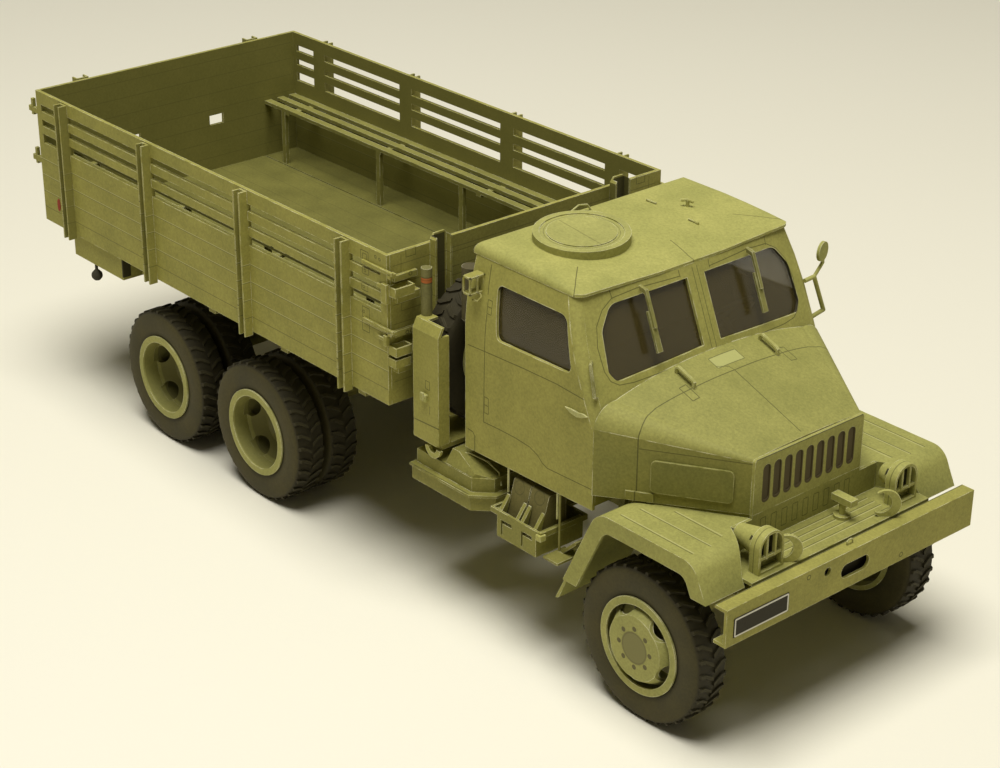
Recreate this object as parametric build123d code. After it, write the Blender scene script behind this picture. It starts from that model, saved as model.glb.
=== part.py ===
from build123d import *
import math
import os

# Printed-card scale model (1:25) of a bonneted six-wheel military cargo truck.
# Frame: +X forward, +Y left, +Z up, ground at z = 0, origin under the middle of the box around it.
# All sizes in millimetres.

# ---- driving dimensions -------------------------------------------------------------------------
card = 0.8                # thickness of the folded card skins
board = 1.0               # thickness of the bed's boards
plate = 0.6               # thickness of small single-card pieces
wire = 0.45               # radius of wire rods and handles
seat_gap = 0.1            # glue gap where curved pieces seat on each other
run_gap = 0.3             # running clearance of the wheels

# lengthwise chain, from the front bumper to the hooks behind the tailgate
front_overhang = 27.4     # front axle to the bumper's face
cowl_behind = 19.6        # front axle back to the cab's front wall
cab_length = 44.9
cab_to_bed = 19.3
bed_length = 162.4
hook_reach = 4.6          # tailgate hooks behind the bed
grille_ahead = 11.0       # front axle to the grille's back
wheelbase = 143.2
bogie_spacing = 44.8

tail_reach = cowl_behind + cab_length + cab_to_bed + bed_length + hook_reach
front_axle_x = (tail_reach - front_overhang) / 2
bumper_x = front_axle_x + front_overhang
grille_x = front_axle_x + grille_ahead
cowl_x = front_axle_x - cowl_behind
cab_rear_x = cowl_x - cab_length
bed_front_x = cab_rear_x - cab_to_bed
bed_rear_x = bed_front_x - bed_length
rear_axle_1_x = front_axle_x - wheelbase
rear_axle_2_x = rear_axle_1_x - bogie_spacing

# wheels
tyre_radius = 19.5        # out to the tips of the tread lugs
tyre_width = 9.4
tyre_shoulder = 1.6       # drop from the tread to the widest part of the sidewall
tyre_bead = 0.6           # how much narrower the tyre is at its bead, each side
tyre_sides = 40           # flats round the laminated tyre
rim_radius = 11.7
rim_lip = 0.5             # rim flange beyond the rim's barrel
front_face_y = 40.8       # outer faces of the front tyres
rear_face_y = 45.1        # outer faces of the outer rear tyres
twin_pitch = 11.0
hub_radius = 8.1
front_hub_proud = 1.2     # front hub face outside the tyre's face
rear_dish_depth = 5.2     # rear dish behind the tyre's face
rim_wall = 0.7
disc_wall = 0.8
hand_holes = 5
hand_hole_radius = 1.9
boss_radius = 3.2
boss_length = 3.4
stub_radius = 1.0
stub_fit = 0.05           # radial play of a wheel on its stub axle
axle_z = tyre_radius

# frame
rail_inner_y = 13.4
rail_web = 0.8
rail_flange = 3.4
rail_height = 8.0

# front end
bumper_half = 41.9
bumper_bottom_z = 32.6
bumper_height = 9.5
bumper_depth = 3.6
deck_z = 42.5
deck_half = 30.0
deck_margin = 0.4         # deck ahead stops this far from the bumper's flange
hood_front_half = 18.2
hood_rear_half = 37.8
hood_front_side_z = 63.2
hood_rear_side_z = 66.0
hood_front_top_z = 64.4
hood_rear_top_z = 75.0
hood_front_bottom_z = 50.1
hood_rear_bottom_z = 49.2
tow_hook_behind = 5.0      # middle of the tow hooks behind the bumper's face
tow_hook_radius = 3.5
lamp_half = 4.0            # half width of a lamp's hood
lamp_side_height = 5.95    # straight sides of a lamp's hood
lamp_depth = 3.0

# fenders
fender_y = 42.3
fender_top_z = 49.2
fender_rear_toe = (-27.1, 20.2)     # rear lower edge, from the front axle
fender_rear_angle = 64.4
fender_front_toe = (21.4, 40.6)     # front lower edge, from the front axle
fender_front_angle = 64.0
fender_flange = 4.1
fender_flange_end_z = 26.9
fender_inner_y = 18.2
cheek_start_y = 24.2       # the fenders' inner cheeks start here beside the grille

# cab
cab_half = 37.5
cab_bottom_rear_z = 43.8
cab_bottom_front_z = 45.1
cab_floor_z = 46.8
belt_z = 72.2
eave_half = 34.6
eave_z = 93.8
roof_lip = 0.15
windscreen_foot_z = 75.0
windscreen_proud = 0.3              # the windscreen's foot ahead of the cab's front wall
windscreen_rake = 23.3
windscreen_bow = 2.8                # how far the outer ends lie behind the middle
side_bow = 0.9                      # how far the cab's sides bulge between belt and eaves
pillar_radius = 2.6                 # rounding of the front corner pillars
hatch_ahead = 15.0                  # middle of the roof hatch ahead of the cab's rear wall
hatch_y = -14.6
hatch_radius = 11.6
hatch_rise = 4.9                    # middle of the lid above the eaves
hatch_tilt = 3.0

# bed
bed_half = 45.7
bed_top_z = 89.8
bed_skirt_z = 50.2
bed_floor_z = 52.0
post_proud = 2.5
post_width = 3.0
post_wall = 0.5
crossbeam_height = 3.4

OVER = 2.0                          # how far cutting tools reach past what they cut


# ---- small builders -----------------------------------------------------------------------------
def box(x0, x1, y0, y1, z0, z1):
    size = Vector(abs(x1 - x0), abs(y1 - y0), abs(z1 - z0))
    return Pos((x0 + x1) / 2, (y0 + y1) / 2, (z0 + z1) / 2) * Box(size.X, size.Y, size.Z)


def along_y(points, y0, y1, fillets=None):
    """Outline of (x, z) points, carried from y0 to y1. fillets = {corner index: radius}."""
    return extrude(Plane.XZ.offset(-y1) * outline(points, fillets), y1 - y0)


def along_x(points, x0, x1, fillets=None):
    """Outline of (y, z) points, carried from x0 to x1."""
    return extrude(Plane.YZ.offset(x0) * outline(points, fillets), x1 - x0)


def along_z(points, z0, z1, fillets=None):
    """Outline of (x, y) points, carried from z0 to z1."""
    return extrude(Plane.XY.offset(z0) * outline(points, fillets), z1 - z0)


def outline(points, fillets=None):
    face = make_face(Polyline(*points, close=True))
    for index, radius in (fillets or {}).items():
        x, y = points[index]
        corner = min(face.vertices(), key=lambda v: (v.X - x) ** 2 + (v.Y - y) ** 2)
        face = fillet([corner], radius)
    return face


def rod(start, end, radius):
    way = Vector(*end) - Vector(*start)
    return extrude(Plane(origin=start, z_dir=way) * Circle(radius), way.length)


def drum(x, y0, y1, z, radius):
    """Cylinder about an axis that runs along Y."""
    return extrude(Plane.XZ.offset(-y1) * Pos(x, z) * Circle(radius), y1 - y0)


def mirrored(shape):
    return mirror(shape, Plane.XZ)


def both_sides(shape):
    return [shape, mirrored(shape)]


def save(name, *shapes):
    solids = []
    for shape in shapes:
        solids += shape.solids()
    export_step(Compound(children=solids), "parts/" + name + ".step")


os.makedirs("parts", exist_ok=True)


# ---- frame --------------------------------------------------------------------------------------
rail_front_x = bumper_x - card
rail_rear_x = bed_rear_x + 2.0
rail_top_z = deck_z - card
rail_bottom_z = rail_top_z - rail_height
rail_outer_y = rail_inner_y + rail_flange
bumper_top_z = bumper_bottom_z + bumper_height


def frame_rail():
    """Channel that opens inwards."""
    whole = box(rail_rear_x, rail_front_x, rail_inner_y, rail_outer_y, rail_bottom_z, rail_top_z)
    hollow = box(rail_rear_x - OVER, rail_front_x + OVER, rail_inner_y - OVER, rail_outer_y - rail_web,
                 rail_bottom_z + rail_web, rail_top_z - rail_web)
    under_flange = box(bumper_x - bumper_depth - seat_gap, bumper_x, 0, rail_outer_y + OVER,
                       bumper_top_z - card, rail_top_z + OVER)
    return whole - hollow - under_flange


def crossmembers():
    places = [front_axle_x + 14, front_axle_x - 30, bed_front_x - 2, rear_axle_1_x + 24,
              (rear_axle_1_x + rear_axle_2_x) / 2, rear_axle_2_x - 22, rail_rear_x + 1.5]
    depth = 3.0
    return [box(x - depth / 2, x + depth / 2, -rail_inner_y, rail_inner_y,
                rail_bottom_z + 1.5, rail_top_z - 1.5) for x in places]


save("frame_rail_left", frame_rail())
save("frame_rail_right", mirrored(frame_rail()))
save("frame_crossmembers", *crossmembers())


# ---- bumper and deck ----------------------------------------------------------------------------
def front_bumper():
    """Channel with its web in front, a crank hole and an oblong slot."""
    back = bumper_x - bumper_depth
    whole = box(back, bumper_x, -bumper_half, bumper_half, bumper_bottom_z, bumper_top_z)
    hollow = box(back - OVER, bumper_x - card, -bumper_half - OVER, bumper_half + OVER,
                 bumper_bottom_z + card, bumper_top_z - card)
    slot = Pos(bumper_x - card / 2, 0, 37.2) * Rot(0, 90, 0) * extrude(SlotOverall(9.6, 3.6, 90), OVER,
                                                                       both=True)
    hole = Pos(bumper_x - card / 2, -9.5, 39.4) * Rot(0, 90, 0) * Cylinder(1.1, OVER * 2)
    return whole - hollow - slot - hole


deck_front_x = bumper_x - bumper_depth - deck_margin


def front_deck():
    """Ribbed deck, folded up into the apron under the grille."""
    flat = box(grille_x, deck_front_x, -deck_half, deck_half, deck_z - card, deck_z)
    apron = box(grille_x, grille_x + card, -hood_front_half, hood_front_half, deck_z, hood_front_bottom_z)
    wings = box(grille_x, grille_x + card, -cheek_start_y, cheek_start_y, deck_z, fender_top_z)
    return flat + apron + wings


def tow_hook(x, y):
    """Flat crescent, open to the right, that stands on the deck turned towards the corner."""
    z = deck_z + tow_hook_radius - 0.2
    thick = 0.8
    mouth = Pos(-1.3, 0.3) * Circle(tow_hook_radius - 0.9)
    crescent = extrude(Plane.YZ * (Circle(tow_hook_radius) - mouth), thick / 2, both=True)
    crescent = crescent - box(-OVER, OVER, -5, 5, -5, deck_z - z)
    tips = box(-OVER, OVER, -5, -1.0, -5, 5) if y < 0 else box(-OVER, OVER, -5, -2.4, -5, 5)
    return Pos(x, y, z) * Rot(0, 0, -41) * (crescent - tips)


def deck_stand():
    """Round foot, post and cross block on the deck."""
    x = grille_x + 5.2
    y = 7.6
    foot = Pos(x, y, deck_z + 0.4) * Cylinder(2.0, 0.8)
    post = Pos(x, y, deck_z + 2.4) * Cylinder(0.8, 4.8 - 0.8)
    block = box(x - 2.6, x + 3.4, y - 1.2, y + 1.2, deck_z + 4.0, deck_z + 5.6)
    return foot + post + block


save("front_bumper", front_bumper())
save("front_deck", front_deck())
hook_x = bumper_x - tow_hook_behind
save("deck_fittings", tow_hook(hook_x - 0.7, -17.2), tow_hook(hook_x, 15.5), deck_stand())


# ---- headlamps ----------------------------------------------------------------------------------
def headlamp(x, y, end_x):
    """Arched hood on the deck with two fins over a shelf in its mouth, and the bowl behind it."""
    crown_z = deck_z + lamp_side_height
    shelf_z = deck_z + 3.4

    def arch(half, x0, x1, low):
        return (box(x0, x1, y - half, y + half, low, crown_z)
                + Pos((x0 + x1) / 2, y, crown_z) * Rot(0, 90, 0) * Cylinder(half, x1 - x0))

    hood = arch(lamp_half, x - lamp_depth, x, deck_z)
    hood = hood - arch(lamp_half - plate, x - lamp_depth + plate, x + OVER, deck_z + plate)
    inside = arch(lamp_half - plate / 2, x - lamp_depth, x, deck_z)
    shelf = box(x - lamp_depth, x - 0.3, y - lamp_half, y + lamp_half, shelf_z, shelf_z + 0.6) & inside
    for fin_y in (y - 1.35, y + 1.35):
        shelf += box(x - lamp_depth, x - 0.1, fin_y - 0.25, fin_y + 0.25, shelf_z, crown_z + lamp_half) & inside
    length = x - lamp_depth - end_x
    bowl = Pos(end_x + length / 2, y, crown_z - 0.3) * Rot(0, 90, 0) * Cone(2.1, lamp_half - 0.5, length)
    return hood + shelf + bowl


save("headlamps", headlamp(bumper_x - 5.2, -22.8, grille_x + card + 0.5),
     headlamp(bumper_x - 6.2, 23.9, grille_x + card + 2.7))


# ---- hood and grille ----------------------------------------------------------------------------
def hood_section(x, half, side_z, top_z, bottom_z, shoulder, inset):
    """One cross-section: upright sides, a rounded shoulder and a crowned top."""
    half = half - inset
    top_z = top_z - inset
    side_z = side_z - inset * 0.4
    bottom_z = bottom_z - (OVER if inset else 0)
    edge_y = half - shoulder
    edge_z = top_z - (top_z - side_z) * 0.42
    knee = (half - shoulder * 0.25, side_z + (edge_z - side_z) * 0.66)
    with BuildSketch(Plane.YZ.offset(x)) as section:
        with BuildLine():
            Polyline((-half, side_z), (-half, bottom_z), (half, bottom_z), (half, side_z))
            ThreePointArc((half, side_z), knee, (edge_y, edge_z))
            ThreePointArc((edge_y, edge_z), (0, top_z), (-edge_y, edge_z))
            ThreePointArc((-edge_y, edge_z), (-knee[0], knee[1]), (-half, side_z))
        make_face()
    return section.sketch.faces()[0]


def hood_body(inset):
    front = hood_section(grille_x, hood_front_half, hood_front_side_z, hood_front_top_z,
                         hood_front_bottom_z, 0.8, inset)
    rear = hood_section(cowl_x, hood_rear_half, hood_rear_side_z, hood_rear_top_z,
                        hood_rear_bottom_z, 6.5, inset)
    return loft([rear, front], ruled=True)


hood_outside = hood_body(0)
hood_shell = hood_outside - hood_body(card)
above_crease = along_y([(cowl_x - OVER, hood_rear_side_z), (cowl_x, hood_rear_side_z),
                        (grille_x, hood_front_side_z), (grille_x + OVER, hood_front_side_z),
                        (grille_x + OVER, 90), (cowl_x - OVER, 90)], -cab_half * 2, cab_half * 2)
hood_sides = hood_shell - above_crease
left_half = box(cowl_x - OVER, grille_x + OVER, 0, cab_half * 2, 0, 100)
save("hood_top", hood_shell & above_crease)
save("hood_side_left", hood_sides & left_half)
save("hood_side_right", hood_sides - left_half)


def grille_panel():
    """Flat panel with rounded upright slots pressed into its face."""
    half = hood_front_half
    panel = along_x([(-half, hood_front_bottom_z), (half, hood_front_bottom_z),
                     (half, hood_front_top_z - 0.4), (-half, hood_front_top_z - 0.4)],
                    grille_x, grille_x + card, {2: 0.8, 3: 0.8})
    count = 9
    pitch = 3.55
    for index in range(count):
        y = (index - (count - 1) / 2) * pitch
        z = (hood_front_bottom_z + hood_front_top_z) / 2 + 0.1
        slot = Plane.YZ.offset(grille_x + card - 0.3) * Pos(y, z) * SlotOverall(9.0, 2.0, 90)
        panel = panel - extrude(slot, OVER)
    return panel


save("grille_panel", grille_panel())


# ---- fenders ------------------------------------------------------------------------------------
def fender_outline(inset, floor_z):
    """Side outline under the fender's top, inset by the given wall."""
    rear = math.radians(fender_rear_angle)
    front = math.radians(fender_front_angle)
    top = fender_top_z - inset
    rear_x = front_axle_x + fender_rear_toe[0] + inset / math.sin(rear)
    front_x = front_axle_x + fender_front_toe[0] - inset / math.sin(front)

    def rear_at(z):
        return rear_x + (z - fender_rear_toe[1]) / math.tan(rear)

    def front_at(z):
        return front_x - (z - fender_front_toe[1]) / math.tan(front)

    front_floor = min(fender_front_toe[1], top) if inset == 0 else floor_z
    return [(rear_at(floor_z), floor_z), (rear_at(top), top), (front_at(top), top),
            (front_at(front_floor), front_floor)]


def fender():
    """Left fender: bent top sheet, outer flange round the wheel opening and inner wall."""
    low = fender_rear_toe[1]
    outside = along_y(fender_outline(0, low), fender_inner_y, fender_y, {1: 6.0, 2: 5.0})
    under = along_y(fender_outline(card, low - OVER), 0, fender_y - card, {1: 5.2, 2: 4.2})
    opening = along_y(fender_outline(fender_flange, low - OVER), 0, fender_y + OVER, {1: 3.5, 2: 3.0})
    whole = outside - under - opening
    flange_end = box(front_axle_x - 40, front_axle_x, fender_y - card, fender_y + OVER, 0,
                     fender_flange_end_z)
    whole = whole - flange_end
    front_stop = box(front_axle_x, front_axle_x + 40, 0, fender_y + OVER, 0, fender_front_toe[1])
    toe_x = front_axle_x + 20.4
    corner = along_z([(grille_x, 0), (grille_x, cheek_start_y), (toe_x, deck_half),
                      (bumper_x, deck_half), (bumper_x, 0)], 0, 60)
    cheek = along_z([(grille_x, cheek_start_y), (toe_x, deck_half), (toe_x, deck_half + card),
                     (grille_x, cheek_start_y + card)], deck_z + seat_gap, 60) & outside
    rear_inner = box(cowl_x - 20, cowl_x - 1, 0, fender_inner_y + 2, 0, 60)
    deck_room = box(grille_x, bumper_x, 0, deck_half, 0, deck_z)
    return whole - front_stop - corner - hood_outside - rear_inner - deck_room + cheek


left_fender = fender()
save("fender_left", left_fender)
save("fender_right", mirrored(left_fender))


# ---- cab ----------------------------------------------------------------------------------------
def cab_block(inset, x0, x1):
    """Block with the cab's outline below its roof, inset sideways, between two stations."""
    half = cab_half - inset
    eave = eave_half - inset
    middle = ((half + eave) / 2 + side_bow, (belt_z + eave_z) / 2)
    with BuildSketch(Plane.YZ.offset(x0)) as section:
        with BuildLine():
            Polyline((-half, belt_z), (-half, 20), (half, 20), (half, belt_z))
            ThreePointArc((half, belt_z), middle, (eave, eave_z))
            Line((eave, eave_z), (-eave, eave_z))
            ThreePointArc((-eave, eave_z), (-middle[0], middle[1]), (-half, belt_z))
        make_face()
    return extrude(section.sketch.faces()[0], x1 - x0, dir=(1, 0, 0))


def cab_side_y(z):
    """Outer face of the cab's left side at a height."""
    share = max(z - belt_z, 0) / (eave_z - belt_z)
    return cab_half - (cab_half - eave_half) * share + side_bow * 4 * share * (1 - share)


windscreen_foot = Vector(cowl_x + windscreen_proud, 0, windscreen_foot_z)
windscreen_reach = (eave_z - windscreen_foot_z) / math.cos(math.radians(windscreen_rake))
bow_radius = (cab_half ** 2 + windscreen_bow ** 2) / (2 * windscreen_bow)


def raked(shape):
    """Lean an upright shape back about the windscreen's foot."""
    return shape.rotate(Axis(windscreen_foot, (0, 1, 0)), -windscreen_rake)


def corner_x(z):
    """Where the windscreen's face meets the cab's side at a height."""
    sag = bow_radius - math.sqrt(bow_radius ** 2 - cab_side_y(z) ** 2)
    rake = math.radians(windscreen_rake)
    return windscreen_foot.X - sag / math.cos(rake) - (z - windscreen_foot.Z) * math.tan(rake)


def corner_post(outside):
    """Left front corner from the hood up: the rounded pillar, or with outside the wedge it takes."""
    faces = []
    for z in (belt_z - 6.4, belt_z, belt_z + (eave_z - belt_z) / 3, belt_z + (eave_z - belt_z) * 2 / 3, eave_z):
        x, y = corner_x(z), cab_side_y(z)
        bow = cab_half / bow_radius
        across = 1 / math.hypot(1, bow)
        middle = (x - pillar_radius * (1 - bow * across) / across, y - pillar_radius)
        side_end = (middle[0], y)
        screen_end = (middle[0] + pillar_radius * across, middle[1] + pillar_radius * bow * across)
        halfway = math.atan2(1 + bow * across, across)
        crown = (middle[0] + pillar_radius * math.cos(halfway), middle[1] + pillar_radius * math.sin(halfway))
        with BuildSketch(Plane.XY.offset(z)) as section:
            with BuildLine():
                if outside:
                    Polyline(middle, (screen_end[0] + OVER, screen_end[1] + OVER * bow), (x + OVER, y + OVER),
                             (side_end[0], y + OVER), middle)
                else:
                    Line(middle, screen_end)
                    ThreePointArc(screen_end, crown, side_end)
                    Line(side_end, middle)
            make_face()
        faces.append(section.sketch.faces()[0])
    return loft(faces, ruled=True)


def windscreen_barrel(depth):
    """Upright cylinder whose front is this far behind the windscreen's outer face."""
    height = 2 * (windscreen_reach + 10)
    return Pos(windscreen_foot.X - bow_radius, 0, windscreen_foot.Z) * Cylinder(bow_radius - depth, height)


def windscreen_sheet(near, far):
    """Bowed, raked sheet between two depths behind the windscreen's outer face."""
    foot = windscreen_foot
    around = box(foot.X - 12, foot.X + 1, -cab_half - 5, cab_half + 5, foot.Z - 10,
                 foot.Z + windscreen_reach + 5)
    return raked((windscreen_barrel(near) - windscreen_barrel(far)) & around)


# outer side of each windscreen opening, inwards of the cab's side: low corner, side, side, top corner
screen_edges = {1: (7.1, 5.2, 5.9, 9.9), -1: (8.1, 6.5, 7.5, 11.3)}


def windscreen_opening(margin, side):
    """Window hole on one side, square to the raked sheet."""
    foot = windscreen_foot
    inner_y = 2.8 - margin
    low = foot.Z + 1.4 - margin
    high = foot.Z + windscreen_reach - 2.85 + margin
    low_y, side_y, bend_y, top_y = [cab_half - inwards + margin for inwards in screen_edges[side]]
    bend_z = high - 0.32 * (high - low)
    points = [(side * inner_y, low), (side * low_y, low - 1.0), (side * side_y, low + 1.5),
              (side * bend_y, bend_z), (side * top_y, high), (side * inner_y, high)]
    hole = along_x(points, foot.X - 15, foot.X + 15, {1: 1.8, 2: 1.8, 3: 3.6, 4: 3.6})
    return raked(hole)


def front_of_windscreen(depth):
    """Everything ahead of a face that lies this far behind the windscreen's outer face."""
    foot = windscreen_foot
    block = box(foot.X - 20, foot.X + 40, -cab_half - 10, cab_half + 10,
                foot.Z - windscreen_reach, foot.Z + 2 * windscreen_reach)
    return raked(block - windscreen_barrel(depth))


cab_outside = cab_block(0, cab_rear_x, cowl_x)
cab_inside = cab_block(card, cab_rear_x - OVER, cowl_x + OVER)
left_wedge = corner_post(True)
left_post = corner_post(False) - hood_outside
cab_rounded = cab_outside - left_wedge + left_post
screen_front = front_of_windscreen(card)

window_top_z = eave_z - 4.5
window_low_z = belt_z + 3.8
side_window = [(cab_rear_x + 9.9, window_top_z), (corner_x(window_top_z) - 2.9, window_top_z),
               (corner_x(window_low_z) - 4.6, window_low_z + 0.6), (cab_rear_x + 11.3, window_low_z)]


def cab_side():
    """Left side of the cab with its door, window and sloping lower edge."""
    wall = (cab_outside - cab_inside) & box(cab_rear_x, cowl_x, 20, 60, 0, eave_z)
    below = along_y([(cab_rear_x - OVER, 0), (cowl_x + OVER, 0), (cowl_x + OVER, cab_bottom_front_z),
                     (cab_rear_x - OVER, cab_bottom_rear_z)], 0, 60)
    hole = along_y(side_window, 20, 60, {0: 1.5, 1: 2.8, 2: 1.6, 3: 1.4})
    front_wall = box(cowl_x - card, cowl_x + OVER, 0, cab_half - card, 0, belt_z + 10)
    rear_wall = box(cab_rear_x - OVER, cab_rear_x + card, 0, cab_half - card, 0, eave_z + OVER)
    inner_rear = cab_block(card, cab_rear_x - OVER, cab_rear_x + card)
    return wall - below - hole - screen_front - front_wall - rear_wall - inner_rear - left_wedge


def cab_back():
    rear = cab_block(card, cab_rear_x, cab_rear_x + card)
    return rear & box(cab_rear_x, cab_rear_x + card, -60, 60, cab_bottom_rear_z, eave_z)


def cab_floor():
    """Floor folded up into the front wall behind the hood."""
    inner = cab_half - card
    floor_z = cab_floor_z
    floor = box(cab_rear_x + card, cowl_x - card, -inner, inner, floor_z - card, floor_z)
    front = cab_block(card, cowl_x - card, cowl_x)
    front = front & box(cowl_x - card, cowl_x, -60, 60, floor_z - card, windscreen_foot_z - 1.6)
    front = front - front_of_windscreen(card + seat_gap)
    for wedge in both_sides(left_wedge):
        front = front - wedge
    return floor + front


def windscreen_frame():
    frame = windscreen_sheet(0, card) & cab_outside_tall
    frame = frame & box(cowl_x - 40, cowl_x + 10, -60, 60, belt_z - 6.2, eave_z)
    for side in (-1, 1):
        frame = frame - windscreen_opening(0, side)
    frame = frame - hood_outside
    for wedge, post in zip(both_sides(left_wedge), both_sides(left_post)):
        frame = frame - wedge + post
    return frame


cab_outside_tall = cab_block(0, cab_rear_x, cowl_x + 6)


def window_glass():
    panes = []
    screen = windscreen_sheet(card + seat_gap, card + seat_gap + 0.3) & cab_inside_tall
    for side in (-1, 1):
        panes.append(screen & windscreen_opening(0.8, side))
    slab = cab_block(card + seat_gap, cab_rear_x + 2, cowl_x)
    core = cab_block(card + seat_gap + 0.3, cab_rear_x, cowl_x + OVER)
    edge = 0.8
    rear_top, front_top, front_low, rear_low = side_window
    grown = [(rear_top[0] - edge, rear_top[1] + edge), (front_top[0] + edge, front_top[1] + edge),
             (front_low[0] + edge, front_low[1] - edge), (rear_low[0] - edge, rear_low[1] - edge)]
    side = ((slab - core) & along_y(grown, 20, 60)) - left_wedge
    return panes + both_sides(side)


cab_inside_tall = cab_block(card + seat_gap, cab_rear_x, cowl_x + 6)


roof_rear_x = cab_rear_x - roof_lip
roof_front_x = windscreen_foot.X - (eave_z - windscreen_foot_z) * math.tan(math.radians(windscreen_rake))
# share of the roof's length from its rear, half width beyond the eaves, shoulder radius,
# height of the shoulder above the eaves, height of the crown above the eaves
roof_sections = [
    (0.00, roof_lip, 2.2, 2.8, 3.1),
    (0.40, roof_lip, 2.2, 2.7, 3.0),
    (0.60, roof_lip, 2.0, 2.3, 2.6),
    (0.78, roof_lip, 1.6, 1.7, 1.9),
    (0.92, roof_lip * 0.5, 0.9, 1.0, 1.2),
    (1.00, 0.0, 0.2, 0.3, 0.6),
]


def roof_section(x, half, shoulder, edge_z, crown_z, low):
    """One cross-section of the roof: upright edges, rounded shoulders and a low crown."""
    knee = shoulder * (1 - math.sqrt(0.5))
    with BuildSketch(Plane.YZ.offset(x)) as section:
        with BuildLine():
            Polyline((-half, edge_z - shoulder), (-half, low), (half, low), (half, edge_z - shoulder))
            ThreePointArc((half, edge_z - shoulder), (half - knee, edge_z - knee), (half - shoulder, edge_z))
            ThreePointArc((half - shoulder, edge_z), (0, crown_z), (shoulder - half, edge_z))
            ThreePointArc((shoulder - half, edge_z), (knee - half, edge_z - knee),
                          (-half, edge_z - shoulder))
        make_face()
    return section.sketch.faces()[0]


def roof_body(inset, seat):
    """Crowned roof that droops to the windscreen; the hollow is inset, and more so over its seat."""
    low = eave_z - (OVER if inset else 0)
    length = roof_front_x - roof_rear_x
    faces = []
    for share, beyond, shoulder, edge, crown in roof_sections:
        half = eave_half + beyond - (seat + beyond if inset else 0)
        faces.append(roof_section(roof_rear_x + share * length, half, shoulder,
                                  eave_z + edge - inset, eave_z + crown - inset, low))
    body = loft(faces, ruled=True)
    rear_x = cab_rear_x + seat if inset else roof_rear_x
    front_x = roof_front_x - inset
    top_z = eave_z + roof_sections[0][4] + 0.1 - inset
    side = along_y([(rear_x, low), (front_x, low), (front_x, top_z), (rear_x, top_z)],
                   -cab_half, cab_half, {3: 2.6})
    bow = 1.5
    corner_y = eave_half + roof_lip
    plan = along_z([(rear_x, -corner_y), (front_x - bow, -corner_y), (front_x, -corner_y * 0.3),
                    (front_x, corner_y * 0.3), (front_x - bow, corner_y), (rear_x, corner_y)], low, top_z,
                   {1: 2.6, 2: 60.0, 3: 60.0, 4: 2.6})
    return body & side & plan


def cab_roof():
    return roof_body(0, 0) - roof_body(card, card)


def roof_hatch():
    """Round lid, tilted towards the right front corner and seated on the crowned roof."""
    tilt = math.radians(hatch_tilt)
    heading = math.radians(-41.0)
    up = (math.sin(tilt) * math.cos(heading), math.sin(tilt) * math.sin(heading), math.cos(tilt))
    top = Plane(origin=(cab_rear_x + hatch_ahead, hatch_y, eave_z + hatch_rise), z_dir=up)
    lid = extrude(top * Circle(hatch_radius), -(hatch_rise - 1.4))
    ring = extrude(top * (Circle(hatch_radius - 1.6) - Circle(hatch_radius - 3.2)), -0.3)
    return lid - ring - roof_outside


roof_outside = roof_body(0, 0)
left_cab_side = cab_side()
save("cab_side_left", left_cab_side)
save("cab_side_right", mirrored(left_cab_side))
save("cab_back", cab_back())
save("cab_floor", cab_floor())
save("windscreen_frame", windscreen_frame())
save("window_glass", *window_glass())
save("cab_roof", cab_roof())
save("roof_hatch", roof_hatch())


# ---- inside the cab -----------------------------------------------------------------------------
def cab_seat():
    """Bench seat on its box, with the back rest against the rear wall."""
    seat_half = cab_half - card - 5.7
    cushion_z = cab_floor_z + 9.2
    cushion_top_z = cushion_z + 4.0
    base = box(cab_rear_x + 8, cab_rear_x + 22, -seat_half + 1, seat_half - 1, cab_floor_z, cushion_z)
    cushion = box(cab_rear_x + 6, cab_rear_x + 24, -seat_half, seat_half, cushion_z, cushion_top_z)
    back = box(cab_rear_x + 2.5, cab_rear_x + 6, -seat_half, seat_half, cushion_z, belt_z)
    return base + cushion + back


def dashboard():
    """Shelf on the front wall with the steering column and wheel."""
    shelf_top = belt_z - 0.7
    shelf_half = cab_half - card - 2.7
    wheel_y = 16.0
    wheel_radius = 8.0
    shelf = box(cowl_x - card - 4.0, cowl_x - card, -shelf_half, shelf_half, shelf_top - 5.5, shelf_top)
    shelf = shelf - front_of_windscreen(card + seat_gap)
    for wedge in both_sides(left_wedge):
        shelf = shelf - wedge
    start = (cowl_x - card - 3.0, wheel_y, shelf_top - 4.5)
    end = (cowl_x - card - 11.0, wheel_y, shelf_top + 2.5)
    column = rod(start, end, 0.8)
    way = (Vector(*end) - Vector(*start)).normalized()
    rim_plane = Plane(origin=end, z_dir=way)
    ring = rim_plane * Torus(wheel_radius, 0.6)
    spoke = rim_plane * Box(2 * wheel_radius, 1.2, 0.8)
    return shelf + column + ring + spoke


save("cab_seat", cab_seat())
save("dashboard", dashboard())


# ---- pieces on the outside of the cab -----------------------------------------------------------
def wiper(y):
    """Arm from the roof's front edge down over the glass, with the blade under its lower end."""
    rake = math.radians(windscreen_rake)
    root_x = roof_front_x + 0.5
    root_z = eave_z - 0.6
    arm_reach = windscreen_reach * 0.5
    blade_start = windscreen_reach * 0.3
    blade_end = windscreen_reach * 0.78

    def at(down, out):
        return (root_x + down * math.sin(rake) + out * math.cos(rake),
                root_z - down * math.cos(rake) + out * math.sin(rake))

    arm = along_y([at(0, 0), at(1.3, 1.9), at(arm_reach, 1.9), at(arm_reach, 1.3), at(2.2, 1.3),
                   at(1.2, 0)], y - 0.45, y + 0.45)
    blade = along_y([at(blade_start, 1.3), at(blade_end, 1.3), at(blade_end, 0.7),
                     at(blade_start, 0.7)], y - 0.8, y + 0.8)
    return arm + blade - barrel_behind


barrel_behind = cab_outside_tall - front_of_windscreen(-seat_gap)


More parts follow.
